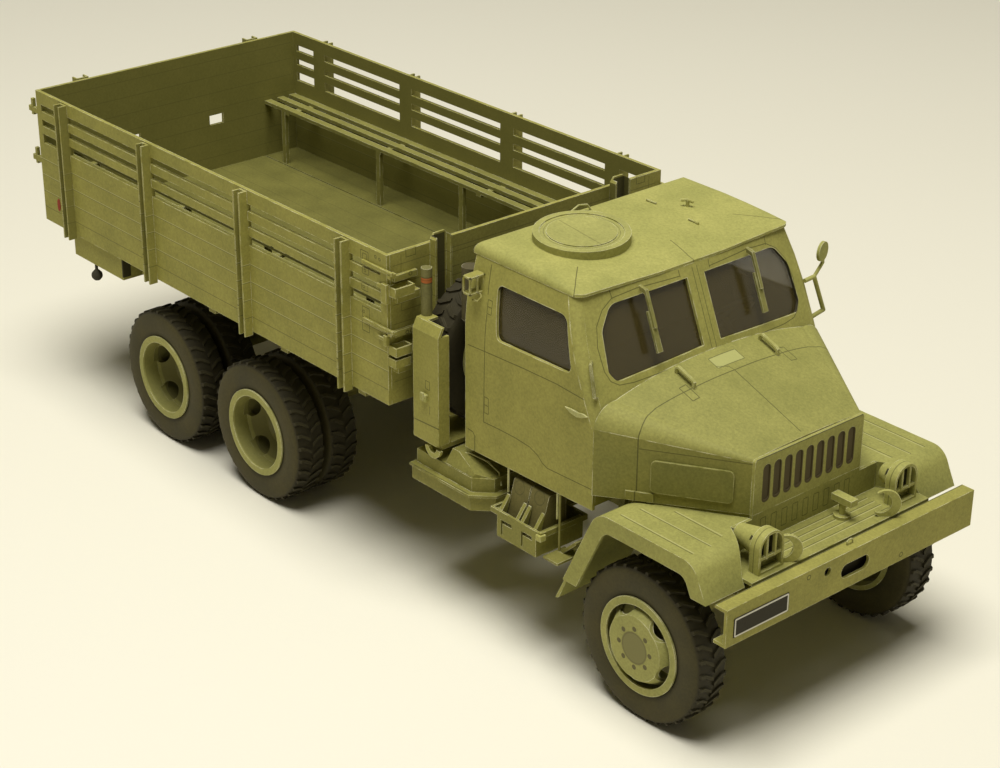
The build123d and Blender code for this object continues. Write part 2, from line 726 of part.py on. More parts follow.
def mirror_and_handle():
    """Wire grab handle on the left front pillar, with the round mirror on its rod."""
    x = cowl_x - 4.2
    handle_wire = 0.55
    foot_z = belt_z + 0.39 * (eave_z - belt_z)
    foot = (x, cab_side_y(foot_z) - 1.6, foot_z)
    top = (x, cab_side_y(foot_z) + 1.8, foot_z + 0.2)
    low = (x, cab_half + 5.9, belt_z - 1.4)
    end = (x, cab_half + seat_gap, belt_z - 2.4)
    neck = (x, cab_side_y(foot_z) + 4.6, foot_z + 3.2)
    head = (x, neck[1] - 0.4, neck[2] + 3.0)
    solid = (rod(foot, top, handle_wire) + rod(top, low, handle_wire) + rod(low, end, handle_wire)
             + rod(top, neck, wire) + rod(neck, head, wire))
    for knee in (top, low):
        solid += Pos(*knee) * Sphere(handle_wire)
    solid += Pos(*neck) * Sphere(wire)
    glass = Pos(*head) * Rot(0, 0, 15.7) * Rot(0, 90, 0) * Cylinder(2.5, 0.8)
    return (solid + glass) - cab_rounded


save("wipers", wiper(17.5), wiper(-17.5))
save("mirror_and_handle", mirror_and_handle())


# ---- cargo bed ----------------------------------------------------------------------------------
# clear rows between the rails of a bed side: (lower z, upper z)
side_gaps = [(74.5, 77.2), (79.6, 81.5), (84.0, 86.0)]
post_places = [bed_rear_x + 14.2, bed_rear_x + 56.7, bed_rear_x + 102.2, bed_rear_x + 145.0]
post_board = 5.6                    # solid board between the clear rows at each post
bed_inner = bed_half - board
hook_heights = [68.5, 83.4]


def channel_post(x0, x1, base_y, low, high):
    """Thin channel that stands out from the face at base_y, open outwards."""
    whole = box(x0, x1, base_y, base_y + post_proud, low, high)
    return whole - box(x0 + post_wall, x1 - post_wall, base_y + post_wall, base_y + post_proud + OVER,
                       low - OVER, high + OVER)


def bed_side():
    """Left side: planking below, two rails above it and the top board, on four channel posts."""
    wall = box(bed_rear_x, bed_front_x, bed_inner, bed_half, bed_skirt_z, bed_top_z)
    edges = [bed_rear_x + 2.5] + [x for place in post_places
                                  for x in (place - post_board / 2, place + post_board / 2)]
    edges.append(bed_front_x - 2.5)
    for low, high in side_gaps:
        for start, end in zip(edges[::2], edges[1::2]):
            wall = wall - box(start, end, bed_inner - OVER, bed_half + OVER, low, high)
    for place in post_places:
        front = place + post_board / 2
        wall = wall + channel_post(front - post_width, front, bed_half, bed_skirt_z - 1.0, bed_top_z - 0.4)
    for z in hook_heights:
        bar = box(bed_rear_x - hook_reach, bed_rear_x, bed_inner, bed_half, z - 0.8, z + 0.8)
        prong = box(bed_rear_x - hook_reach + 1.5, bed_rear_x - hook_reach + 2.5, bed_inner, bed_half,
                    z - 1.6, z + 3.2)
        wall = wall + bar + prong
    return wall


def bed_floor():
    """Floor with a groove along each side, between its middle boards and those under the benches."""
    floor = box(bed_rear_x + board, bed_front_x - board, -bed_inner, bed_inner, bed_floor_z - board,
                bed_floor_z)
    for side in (-1, 1):
        groove_y = side * (bench_inner_y - 0.6)
        floor = floor - box(bed_rear_x, bed_front_x, groove_y - 0.2, groove_y + 0.2, bed_floor_z - 0.3,
                            bed_floor_z + OVER)
    return floor


bench_inner_y = 33.0


def tailgate():
    """Rear board with two small windows and two channel posts on its outer face."""
    gate = box(bed_rear_x, bed_rear_x + board, -bed_inner, bed_inner, bed_skirt_z, bed_top_z)
    for side in (-1, 1):
        gate = gate - box(bed_rear_x - OVER, bed_rear_x + OVER, side * 12.4, side * 17.5, 66.3, 69.4)
    width = 4.0
    for y in (-30.0, 30.0):
        post = channel_post(y - width / 2, y + width / 2, 0, bed_skirt_z, bed_top_z + 0.4)
        gate = gate + Pos(bed_rear_x, 0, 0) * Rot(0, 0, 90) * post
    return gate


def bed_front_board():
    """Front board with two channel posts, the corner latch bars and the boxes beside them."""
    front = box(bed_front_x - board, bed_front_x, -bed_inner, bed_inner, bed_skirt_z, bed_top_z)
    for y in (-29.8, 29.8):
        post = along_x([(y - 2.6, bed_skirt_z), (y + 2.6, bed_skirt_z), (y + 2.6, bed_top_z + 1.0),
                        (y + 1.6, bed_top_z + 2.3), (y - 1.6, bed_top_z + 2.3),
                        (y - 2.6, bed_top_z + 1.0)], bed_front_x, bed_front_x + 2.2)
        groove = box(bed_front_x + post_wall, bed_front_x + 4, y - 2.6 + post_wall, y + 2.6 - post_wall,
                     bed_skirt_z - 1, bed_top_z + 5)
        front = front + (post - groove)
    # lower height, upper height and depth of each corner piece
    corner_pieces = [(59.0, 64.0, 1.8), (68.2, 69.8, 0.8), (77.5, 79.6, 1.8), (82.7, 84.3, 0.8)]
    for side in (-1, 1):
        for low, high, depth in corner_pieces:
            front = front + box(bed_front_x, bed_front_x + depth, side * 37.0, side * (bed_inner - 0.7),
                                low, high)
    return front


def crossbeams():
    places = [bed_rear_x + 17, bed_rear_x + 50, bed_rear_x + 83, bed_rear_x + 116, bed_rear_x + 149]
    top = bed_floor_z - board
    return [box(x - 1.5, x + 1.5, -bed_inner + 1.0, bed_inner - 1.0, top - crossbeam_height, top)
            for x in places]


def sill():
    """Long bearer between the frame rail and the crossbeams."""
    top = bed_floor_z - board - crossbeam_height
    return box(bed_rear_x + 4, bed_front_x - 2, rail_inner_y, rail_outer_y, rail_top_z, top)


left_bed_side = bed_side()
save("bed_side_left", left_bed_side)
save("bed_side_right", mirrored(left_bed_side))
save("bed_floor", bed_floor())
save("tailgate", tailgate())
save("bed_front_board", bed_front_board())
save("bed_crossbeams", *crossbeams())
save("bed_sills", *both_sides(sill()))


# ---- benches ------------------------------------------------------------------------------------
bench_z = 70.0
bench_slats = [bench_inner_y, bench_inner_y + 4.8, bench_inner_y + 9.3]    # inner edges of the slats
slat_width = 2.3


bench_legs = [bed_rear_x + 10.7, bed_rear_x + 58, bed_rear_x + 96, bed_rear_x + 140]


def bench():
    """Left bench: three slats on cross pieces, with legs under the front slat."""
    start = bed_rear_x + board + seat_gap
    end = bed_front_x - board - 3
    seat = None
    for y in bench_slats:
        slat = box(start, end, y, y + slat_width, bench_z - board, bench_z)
        seat = slat if seat is None else seat + slat
    cross = 2.0
    for x in [start + 11.8 + 45.4 * index for index in range(4)]:
        seat = seat + box(x - cross / 2, x + cross / 2, bench_slats[0], bed_inner,
                          bench_z - board - 0.8, bench_z - board)
    for x in bench_legs:
        seat = seat + box(x - 0.9, x + 0.9, bench_slats[0], bench_slats[0] + 1.2, bed_floor_z,
                          bench_z - board)
    return seat


left_bench = bench()
save("bench_left", left_bench)
save("bench_right", mirrored(left_bench))


# ---- under and behind the bed -------------------------------------------------------------------
def rear_skirt():
    """Plate that hangs behind the rear wheel."""
    x0 = bed_rear_x + 13.5
    x1 = bed_rear_x + 39.4
    top = bed_floor_z - board
    plate_y = bed_inner - card - seat_gap
    hanging = box(x0, x1, plate_y, plate_y + card, 43.0, top)
    flap = box(x1 - card, x1, plate_y - 12, plate_y, 43.0, top)
    return hanging + flap


save("rear_skirts", *both_sides(rear_skirt()))


# ---- behind the cab -----------------------------------------------------------------------------
spare_x = bed_front_x + 8.4
spare_y = -20.4
spare_z = 62.5


def tyre(at, side_axis):
    """Laminated tyre: a many-sided ring, widest below the tread."""
    half = tyre_width / 2
    # (radius of the flat, offset from the middle)
    sections = [(rim_radius + seat_gap + 0.9, -half + tyre_bead), (tyre_radius - tyre_shoulder, -half),
                (tyre_radius, -half + 0.9), (tyre_radius, half - 0.9),
                (tyre_radius - tyre_shoulder, half), (rim_radius + seat_gap + 0.9, half - tyre_bead)]
    turn = 180 / tyre_sides
    faces = [Plane.XY.offset(offset) * RegularPolygon(radius, tyre_sides, major_radius=False,
                                                      rotation=turn) for radius, offset in sections]
    ring = loft(faces, ruled=True)
    bore = RegularPolygon(rim_radius + seat_gap, tyre_sides, major_radius=False, rotation=turn)
    ring = ring - extrude(bore, tyre_width, both=True)
    return Plane(origin=at, x_dir=(0, 0, 1), z_dir=side_axis) * ring


def ring_of(points, at, side_axis):
    """Turned piece from (radius, offset) points about the wheel's axis."""
    profile = make_face(Polyline(*[(r, 0, w) for r, w in points], close=True))
    return Plane(origin=at, x_dir=(0, 0, 1), z_dir=side_axis) * revolve(profile, Axis.Z, 360)


def rim(at, side_axis):
    """Rim barrel with a flange at each edge."""
    half = tyre_width / 2
    inner = rim_radius - rim_wall
    lip = rim_radius + rim_lip
    edge = half - tyre_bead + seat_gap
    return ring_of([(inner, -half), (lip, -half), (lip, -edge), (rim_radius, -edge), (rim_radius, edge),
                    (lip, edge), (lip, half), (inner, half)], at, side_axis)


def wheel_disc(at, side_axis, hub_offset, cone_reach):
    """Dished disc from the hub face to the barrel, with hand holes and the boss on the stub axle."""
    inside = rim_radius - rim_wall
    back = hub_offset - disc_wall
    bore = stub_radius + stub_fit
    disc = ring_of([(0, back), (hub_radius, back), (inside, cone_reach - disc_wall), (inside, cone_reach),
                    (hub_radius, hub_offset), (0, hub_offset)], at, side_axis)
    boss = ring_of([(bore, back - boss_length), (boss_radius, back - boss_length), (boss_radius, back),
                    (bore, back)], at, side_axis)
    disc = disc + boss
    centre = Plane(origin=at, x_dir=(0, 0, 1), z_dir=side_axis)
    for index in range(hand_holes):
        turn = 360 / hand_holes * (index + 0.5)
        reach = (hub_radius + inside) / 2 + 0.4
        disc = disc - centre * (Rot(0, 0, turn) * Pos(reach, 0, 0) * Cylinder(hand_hole_radius, 60))
    return disc


front_hub_offset = tyre_width / 2 + front_hub_proud
rear_hub_offset = tyre_width / 2 - rear_dish_depth


def front_wheel(side):
    at = (front_axle_x, side * (front_face_y - tyre_width / 2), axle_z)
    outwards = (0, side, 0)
    disc = wheel_disc(at, outwards, front_hub_offset, tyre_width / 2 - 3.6)
    return tyre(at, outwards), rim(at, outwards) + disc


def rear_wheel(side, x):
    """Twin tyres on two barrels that a spacer joins; the disc is in the outer one."""
    outer_at = (x, side * (rear_face_y - tyre_width / 2), axle_z)
    inner_at = (x, side * (rear_face_y - tyre_width / 2 - twin_pitch), axle_z)
    outwards = (0, side, 0)
    disc = wheel_disc(outer_at, outwards, rear_hub_offset, tyre_width / 2 - 1.6)
    half = tyre_width / 2
    gap = twin_pitch - tyre_width
    spacer = ring_of([(rim_radius - rim_wall, -half - gap), (rim_radius, -half - gap), (rim_radius, -half),
                      (rim_radius - rim_wall, -half)], outer_at, outwards)
    metal = rim(outer_at, outwards) + rim(inner_at, outwards) + spacer + disc
    return [tyre(outer_at, outwards), tyre(inner_at, outwards)], metal


for side, name in ((1, "left"), (-1, "right")):
    rubber, metal = front_wheel(side)
    save("front_tyre_" + name, rubber)
    save("front_rim_" + name, metal)
    for number, x in ((1, rear_axle_1_x), (2, rear_axle_2_x)):
        rubbers, metal = rear_wheel(side, x)
        save("rear_tyres_%d_%s" % (number, name), *rubbers)
        save("rear_rims_%d_%s" % (number, name), metal)

spare_at = (spare_x, spare_y, spare_z)
save("spare_tyre", tyre(spare_at, (1, 0, 0)))
spare_disc = wheel_disc(spare_at, (1, 0, 0), rear_hub_offset, tyre_width / 2 - 1.6)
save("spare_rim", rim(spare_at, (1, 0, 0)) + spare_disc)


def spare_carrier():
    """Shelf across the frame under the spare wheel, and the folded cover at its right side."""
    low = spare_z - tyre_radius
    shelf_end_y = spare_y - tyre_radius - 0.5
    rear = spare_x - 3.4
    front = spare_x + 6.2
    shelf = box(spare_x - 5.5, spare_x + 5.5, shelf_end_y, rail_outer_y, rail_top_z, low - seat_gap)
    foot = box(rear, front - 0.7, cover_y, shelf_end_y + 3, rail_top_z + 1.2, low + 1.0)
    cover = box(rear, front, cover_y, cover_y + card, low + 0.3, cover_bend_z)
    side = box(front - card, front, cover_y, cover_y + 3.4, low + 0.3, cover_bend_z)
    slope = along_x([(cover_y, cover_bend_z), (cover_y + card, cover_bend_z),
                     (cover_y + 2.0, cover_top_z), (cover_y + 1.2, cover_top_z)], rear, front)
    ledge = box(rear, rear + 3.6, cover_y + 1.2, cover_y + 5.0, cover_top_z - plate, cover_top_z)
    return shelf + foot + cover + side + slope + ledge


cover_y = -42.0
cover_bend_z = spare_z + 9.5
cover_top_z = cover_bend_z + 2.5


def banded_tube():
    """Rolled tube that stands on the cover's ledge, behind its fold."""
    length = 12.2
    return Pos(spare_x - 2.6, cover_y + 3.8, cover_top_z + length / 2) * Cylinder(1.35, length)


def intake_stack():
    """Pipe up the cab's rear wall, with the lamp bracket on its top."""
    top = eave_z - 4.8
    bottom = spare_z + 13.0
    x = cab_rear_x - 3.2
    y = -33.1
    pipe = Pos(x, y, (bottom + top) / 2) * Cylinder(2.2, top - bottom)
    lug = box(x, cab_rear_x, y - 1, y + 1, top - 8.3, top - 6.3)
    return pipe + lug


save("spare_carrier", spare_carrier())
save("banded_tube", banded_tube())
save("intake_stack", intake_stack())


# ---- boxes, rack and steps along the sides ------------------------------------------------------
box_face_y = 41.6
rack_rear_x = cowl_x - 30.2
rack_front_x = cowl_x - 12.4
rack_floor_z = 28.2
rack_rim_z = 33.8
rack_top_z = 35.2
rack_face_y = 42.0


def battery_box():
    """Right side: base with a chamfered front end, a flange, a narrower body and a sloped hump."""
    rear = cab_rear_x - 15.6
    front = cab_rear_x + 11.0
    chamfer = 4.4
    base_z = 30.4
    flange_z = 34.4
    body_z = flange_z + plate
    body_top_z = 38.7
    hump_top_z = 42.4

    def tier(inset, low, high, inner_y):
        face = box_face_y - inset
        return along_z([(rear + max(inset, 0), -face), (front - chamfer - inset / 2, -face),
                        (front - inset, -face + chamfer - inset / 2), (front - inset, -inner_y),
                        (rear + max(inset, 0), -inner_y)], low, high)

    base = tier(0, base_z, flange_z, rail_outer_y)
    flange = tier(-0.9, flange_z, body_z, 25)
    body = tier(0.9, body_z, body_top_z, 25)
    hump = along_x([(-40.3, body_top_z), (-38.6, hump_top_z), (-27.0, hump_top_z), (-25.5, body_top_z)],
                   rear, front)
    ends = along_y([(cab_rear_x - 4.2, body_top_z), (cab_rear_x - 3.4, hump_top_z),
                    (cab_rear_x - 1.0, hump_top_z), (cab_rear_x + 9.0, body_top_z)], -45, -20)
    return base + flange + body + (hump & ends & tier(1.3, body_top_z, hump_top_z, 25))


def can_rack():
    """Open tray with a wide rim and a pierced front, on an arm from the right frame rail."""
    inner_y = 27.0
    inset = 1.6
    rim = box(rack_rear_x, rack_front_x, -rack_face_y, -inner_y, rack_rim_z, rack_top_z)
    rim = rim - box(rack_rear_x + plate, rack_front_x - plate, -rack_face_y + plate, -inner_y - plate,
                    rack_rim_z - OVER, rack_top_z + OVER)
    rear = rack_rear_x + inset + 0.7
    front = rack_front_x - inset
    tray = box(rear, front, -rack_face_y, -inner_y, rack_floor_z, rack_rim_z)
    tray = tray - box(rear + plate, front - plate, -rack_face_y + plate, -inner_y - plate,
                      rack_floor_z + plate, rack_rim_z + OVER)
    ledge = box(rack_rear_x, rear + plate, -rack_face_y, -inner_y, rack_rim_z, rack_rim_z + plate)
    ledge += box(front - plate, rack_front_x, -rack_face_y, -inner_y, rack_rim_z, rack_rim_z + plate)
    for x in (rear + 1.4, rear + 8.6):
        tray = tray - box(x, x + plate, -rack_face_y - OVER, -rack_face_y + OVER, rack_floor_z + 0.8,
                          rack_rim_z - 0.7)
        tray = tray - box(x, x + 3.8, -rack_face_y - OVER, -rack_face_y + OVER, rack_rim_z - 1.6,
                          rack_rim_z - 0.7)
    arm = box(rack_rear_x + 6, rack_front_x - 6, -inner_y, -rail_outer_y, rack_top_z - plate, rack_top_z)
    struts = []
    for x in can_struts:
        struts.append(along_x([(-rack_face_y + plate, rack_top_z - 1.2), (-rack_face_y + plate, rack_top_z),
                               (-38.9, 38.6), (-38.9, 37.6), (-rack_face_y + plate + 1.4, rack_top_z - 1.2),
                               ], x - 0.5, x + 0.5))
    whole = rim + tray + ledge + arm
    for strut in struts:
        whole = whole + strut
    return whole


can_struts = [rack_rear_x + 3.0, rack_rear_x + 8.9, rack_rear_x + 10.6, rack_rear_x + 15.2]


def cans():
    """Two flat cans that lean inwards in the rack."""
    width = 6.0
    lean = math.radians(14.5)
    low_z = rack_floor_z + plate + seat_gap
    foot_y = -rack_face_y + plate + 0.6
    height = 13.6
    depth = 9.0
    top_y = foot_y + height * math.tan(lean)
    shape = [(foot_y, low_z), (top_y, low_z + height), (top_y + depth * 0.6, low_z + height),
             (foot_y + depth, low_z + height * 0.5), (foot_y + depth, low_z)]
    first = rack_rear_x + 1.9 + 2 * plate
    return [along_x(shape, x, x + width, {1: 0.8, 2: 1.5}) for x in (first, first + width + 0.3)]


def cab_step():
    """Left step: tread and sloping flap, hung by a rod from the cab and held by an arm from the rail."""
    rear = rack_front_x + 0.4
    front = rear + 5.0
    tread_z = 29.4
    hanger_x = rear + 0.8
    hanger_y = cab_half - card / 2
    inner_y = 34.6
    tread = box(rear, front, inner_y, 41.5, tread_z - plate, tread_z)
    flap = along_y([(rear + 1.2, tread_z), (rear + 2.2, tread_z), (front + 1.6, tread_z + 4.0),
                    (front + 1.6, tread_z + 4.6), (front + 1.0, tread_z + 4.6)], inner_y, inner_y + 2.6)
    arm = box(rear + 1.0, rear + 3.0, rail_outer_y, inner_y, tread_z - plate, tread_z)
    riser = box(rear + 1.0, rear + 3.0, rail_outer_y, rail_outer_y + 1.5, tread_z, rail_top_z - 4)
    cab_edge_z = cab_bottom_rear_z + (cab_bottom_front_z - cab_bottom_rear_z) * (
        (hanger_x - cab_rear_x) / cab_length)
    hanger = rod((hanger_x, hanger_y, tread_z - plate / 2), (hanger_x, hanger_y, cab_edge_z - seat_gap), 0.3)
    return tread + flap + arm + riser + hanger


def fuel_tank():
    """Left side: tank with rounded edges on two hangers."""
    x0 = cab_rear_x - 14.8
    x1 = cab_rear_x + 13
    tank = along_x([(22, 28), (40, 28), (40, 43), (22, 43)], x0, x1, {0: 3.0, 1: 3.0, 2: 3.0, 3: 3.0})
    for x in (x0 + 5, x1 - 5):
        tank = tank + box(x - 1, x + 1, rail_outer_y, 22.6, 35, 39)
    return tank


save("battery_box", battery_box())
save("can_rack", can_rack())
save("cans", *cans())
save("cab_steps", *both_sides(cab_step()))
save("fuel_tank", fuel_tank())


# ---- axles, springs and shafts ------------------------------------------------------------------
axle_tube_z = axle_z + 3.4
tube_radius = 2.3
drop_radius = 4.6
pumpkin_radius = 5.6


def axle(x, hub_back_y):
    """Raised axle tube with its drive casing, drop gear cases and the stubs that carry the wheels."""
    half_case = 1.4
    end_y = hub_back_y - run_gap - half_case
    stub_y = hub_back_y + boss_length - run_gap
    beam = drum(x, -end_y, end_y, axle_tube_z, tube_radius)
    casing = Pos(x, 0, axle_tube_z) * Sphere(pumpkin_radius)
    solid = beam + casing
    for side in (-1, 1):
        inner = side * (end_y - half_case)
        outer = side * (end_y + half_case)
        case = drum(x, min(inner, outer), max(inner, outer), axle_z, drop_radius)
        case = case + drum(x, min(inner, outer), max(inner, outer), axle_tube_z, drop_radius)
        stub = drum(x, min(outer, side * stub_y), max(outer, side * stub_y), axle_z, stub_radius)
        solid = solid + case + stub
    return solid


front_hub_back = front_face_y + front_hub_proud - disc_wall - boss_length
rear_hub_back = rear_face_y - rear_dish_depth - disc_wall - boss_length
save("axles", axle(front_axle_x, front_hub_back), axle(rear_axle_1_x, rear_hub_back),
     axle(rear_axle_2_x, rear_hub_back))


def leaf_spring(x, half_length):
    """Left spring: three leaves, clamp on the axle and eyes under the rail."""
    y0 = rail_inner_y
    y1 = rail_outer_y
    base = axle_tube_z + tube_radius
    pack = box(x - 2.4, x + 2.4, y0, y1, base - 0.0, base + 1.6)
    leaf = 1.0
    for index, share in enumerate((0.45, 0.72, 1.0)):
        reach = half_length * share
        z = base + 1.6 + leaf * index
        pack = pack + box(x - reach, x + reach, y0, y1, z, z + leaf)
    top = base + 1.6 + leaf * 3
    for end in (x - half_length + 1, x + half_length - 1):
        pack = pack + box(end - 1, end + 1, y0, y1, top, rail_bottom_z)
    return pack


springs = []
for x, half_length in ((front_axle_x, 17.0), (rear_axle_1_x, 15.0), (rear_axle_2_x, 15.0)):
    springs += both_sides(leaf_spring(x, half_length))
save("leaf_springs", *springs)


def driveline():
    """Transfer case under the cab's rear edge and the shafts to the axles."""
    case_x = cab_rear_x + 8
    case = box(case_x - 6, case_x + 6, -7, 7, 24, 36)
    ears = box(case_x - 2, case_x + 2, -rail_inner_y, rail_inner_y, 34.8, 36)
    gap = pumpkin_radius + seat_gap
    shaft_z = axle_tube_z
    front = rod((case_x + 6, 0, 29), (front_axle_x - gap, 0, shaft_z), 1.1)
    rear = rod((case_x - 6, 0, 29), (rear_axle_1_x + gap, 0, shaft_z), 1.1)
    return case + ears + front + rear


def link_shaft():
    gap = pumpkin_radius + seat_gap
    return rod((rear_axle_1_x - gap, 0, axle_tube_z), (rear_axle_2_x + gap, 0, axle_tube_z), 1.1)


save("driveline", driveline(), link_shaft())
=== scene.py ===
import bpy
import math
from mathutils import Matrix, Vector


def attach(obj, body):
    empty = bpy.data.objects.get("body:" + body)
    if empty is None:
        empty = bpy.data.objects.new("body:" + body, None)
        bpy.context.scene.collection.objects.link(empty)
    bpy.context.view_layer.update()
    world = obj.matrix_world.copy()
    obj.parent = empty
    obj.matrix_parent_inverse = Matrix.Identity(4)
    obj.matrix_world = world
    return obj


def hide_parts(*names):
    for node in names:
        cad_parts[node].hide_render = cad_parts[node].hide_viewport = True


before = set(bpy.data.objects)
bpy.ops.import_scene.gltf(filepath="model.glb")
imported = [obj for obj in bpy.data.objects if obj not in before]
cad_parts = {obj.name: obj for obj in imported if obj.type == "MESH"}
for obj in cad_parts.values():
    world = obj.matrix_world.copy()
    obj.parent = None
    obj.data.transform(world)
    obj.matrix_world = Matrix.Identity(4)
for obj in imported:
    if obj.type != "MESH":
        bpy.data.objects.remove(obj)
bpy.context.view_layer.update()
MM = 0.001


# ---- camera -------------------------------------------------------------------------------------
# A long lens looks down on the model from its front right corner.
# The aim lies on the floor, a little to the left of the cab's middle.
camera_azimuth = math.radians(48.9)
camera_height = math.radians(25.8)
camera_roll = math.radians(0.4)
camera_reach = 668.3 * MM
camera_aim = Vector((-42.0, 51.3, 0.0)) * MM

away = Vector((math.sin(camera_azimuth) * math.cos(camera_height),
               -math.cos(camera_azimuth) * math.cos(camera_height),
               math.sin(camera_height)))
level = Vector((math.cos(camera_azimuth), math.sin(camera_azimuth), 0.0))
upright = away.cross(level)
across = level * math.cos(camera_roll) + upright * math.sin(camera_roll)
upward = upright * math.cos(camera_roll) - level * math.sin(camera_roll)
lens = bpy.data.cameras.new("camera")
lens.lens = 79.65
lens.sensor_width = 36.0
lens.clip_start = 0.01
camera = bpy.data.objects.new("camera", lens)
turn = Matrix((across, upward, away)).transposed().to_4x4()
camera.matrix_world = Matrix.Translation(camera_aim + away * camera_reach) @ turn
bpy.context.collection.objects.link(camera)
bpy.context.scene.camera = camera


# ---- table and light ----------------------------------------------------------------------------
# The model stands on a sheet of cream paper laid on a table.
# One wide soft lamp hangs over it and a faint warm sky fills the shadows.
def material(name):
    """A new material with one plain shader, and its node tree."""
    made = bpy.data.materials.new(name)
    made.use_nodes = True
    return made, made.node_tree, made.node_tree.nodes["Principled BSDF"]


def add(tree, kind, **settings):
    """A node of the given kind. Settings name its properties, or its sockets by 'in_' and a number."""
    node = tree.nodes.new("ShaderNode" + kind)
    for key, value in settings.items():
        if not key.startswith("in_"):
            setattr(node, key, value)
    for key, value in settings.items():
        if key.startswith("in_"):
            socket = node.inputs[int(key[3:])]
            if isinstance(value, bpy.types.NodeSocket):
                tree.links.new(value, socket)
            elif socket.type == "RGBA":
                socket.default_value = (*value, 1)
            else:
                socket.default_value = value
    return node


def blend(tree, share, one, other):
    """One colour passing into another by a share."""
    return add(tree, "Mix", data_type="RGBA", in_0=share, in_6=one, in_7=other).outputs[2]


def maths(tree, kind, *values, clamp=False):
    """The result of a sum on numbers."""
    wired = {"in_%d" % i: value for i, value in enumerate(values)}
    return add(tree, "Math", operation=kind, use_clamp=clamp, **wired).outputs[0]


paper, paper_tree, paper_shader = material("table_paper")
where = add(paper_tree, "TexCoord").outputs["Object"]
fibre = add(paper_tree, "TexNoise", in_0=where, in_2=900.0, in_3=3.0)
cloud = add(paper_tree, "TexNoise", in_0=where, in_2=1.6, in_3=2.0)
tint = blend(paper_tree, cloud.outputs[0], (0.885, 0.845, 0.685), (0.93, 0.895, 0.75))
paper_tree.links.new(tint, paper_shader.inputs["Base Color"])
paper_bump = add(paper_tree, "Bump", in_0=0.15, in_1=0.0002, in_3=fibre.outputs[0])
paper_tree.links.new(paper_bump.outputs[0], paper_shader.inputs["Normal"])
paper_shader.inputs["Roughness"].default_value = 0.9
paper_shader.inputs["Specular IOR Level"].default_value = 0.2

bpy.ops.object.select_all(action="DESELECT")
bpy.ops.mesh.primitive_grid_add(x_subdivisions=8, y_subdivisions=8, size=8.0)
table = bpy.context.object
table.name = "table"
table.data.materials.append(paper)

lamp_data = bpy.data.lights.new("lamp", "AREA")
lamp_data.shape = "DISK"
lamp_data.size = 0.8
lamp_data.energy = 17.5
lamp_data.color = (1.0, 0.99, 0.965)
lamp = bpy.data.objects.new("lamp", lamp_data)
lamp_place = Vector((0.14, -0.20, 1.25))
lamp.matrix_world = Matrix.Translation(lamp_place) @ lamp_place.to_track_quat("Z", "Y").to_matrix().to_4x4()
bpy.context.collection.objects.link(lamp)

sky = bpy.data.worlds.new("sky")
sky.use_nodes = True
bpy.context.scene.world = sky
sky_tree = sky.node_tree
sky_tree.nodes.clear()
seen = add(sky_tree, "LightPath")
seen_directly = maths(sky_tree, "MAXIMUM", seen.outputs["Is Camera Ray"], seen.outputs["Is Glossy Ray"])
seen_anyway = maths(sky_tree, "MAXIMUM", seen_directly, seen.outputs["Is Transmission Ray"])
glow = add(sky_tree, "Background", in_0=(1.0, 0.93, 0.66), in_1=0.08)
haze = add(sky_tree, "Background", in_0=(0.80, 0.76, 0.62), in_1=1.0)
either = add(sky_tree, "MixShader", in_0=seen_anyway, in_1=glow.outputs[0], in_2=haze.outputs[0])
sky_out = add(sky_tree, "OutputWorld")
sky_tree.links.new(either.outputs[0], sky_out.inputs[0])
bpy.context.scene.view_settings.view_transform = "Standard"


# ---- chassis ------------------------------------------------------------------------------------
# Rails, cross members, axles, leaf springs, shafts and the tank under the body.
# They are folded from olive-printed card and glued up, so their cut edges show paler.
def effect(name, takes, gives):
    """A shader node group with the named sockets, and its two end nodes."""
    group = bpy.data.node_groups.new(name, "ShaderNodeTree")
    for way, sockets in (("INPUT", takes), ("OUTPUT", gives)):
        for label, kind in sockets.items():
            group.interface.new_socket(name=label, in_out=way, socket_type="NodeSocket" + kind)
    return group, group.nodes.new("NodeGroupInput").outputs, group.nodes.new("NodeGroupOutput").inputs


def vectors(tree, kind, *values):
    """The result of a sum on vectors: a number where the sum gives one, else a vector."""
    node = add(tree, "VectorMath", operation=kind, **{"in_%d" % i: value for i, value in enumerate(values)})
    return node.outputs["Value" if kind in ("DOT_PRODUCT", "LENGTH", "DISTANCE") else 0]


def scaled(tree, vector, size):
    """A vector times a number."""
    return add(tree, "VectorMath", operation="SCALE", in_0=vector, in_3=size).outputs[0]


def ramp(tree, value, low, high, first=0.0, last=1.0):
    """A value carried from one range over to another, and held at its ends."""
    return add(tree, "MapRange", in_0=value, in_1=low, in_2=high, in_3=first, in_4=last).outputs[0]


def faded(tree, off, half, spread=1.9):
    """1 up to half a stroke's width away, and 0 a little further out."""
    return ramp(tree, off, half, maths(tree, "MULTIPLY", half, spread), 1.0, 0.0)


def outlined(tree, off, half, gives):
    """Gives out a mark along an edge, and the area within, from how far outside the edge a point lies."""
    tree.links.new(faded(tree, maths(tree, "ABSOLUTE", off), half), gives["Mask"])
    tree.links.new(ramp(tree, off, 0.0, half, 1.0, 0.0), gives["Within"])


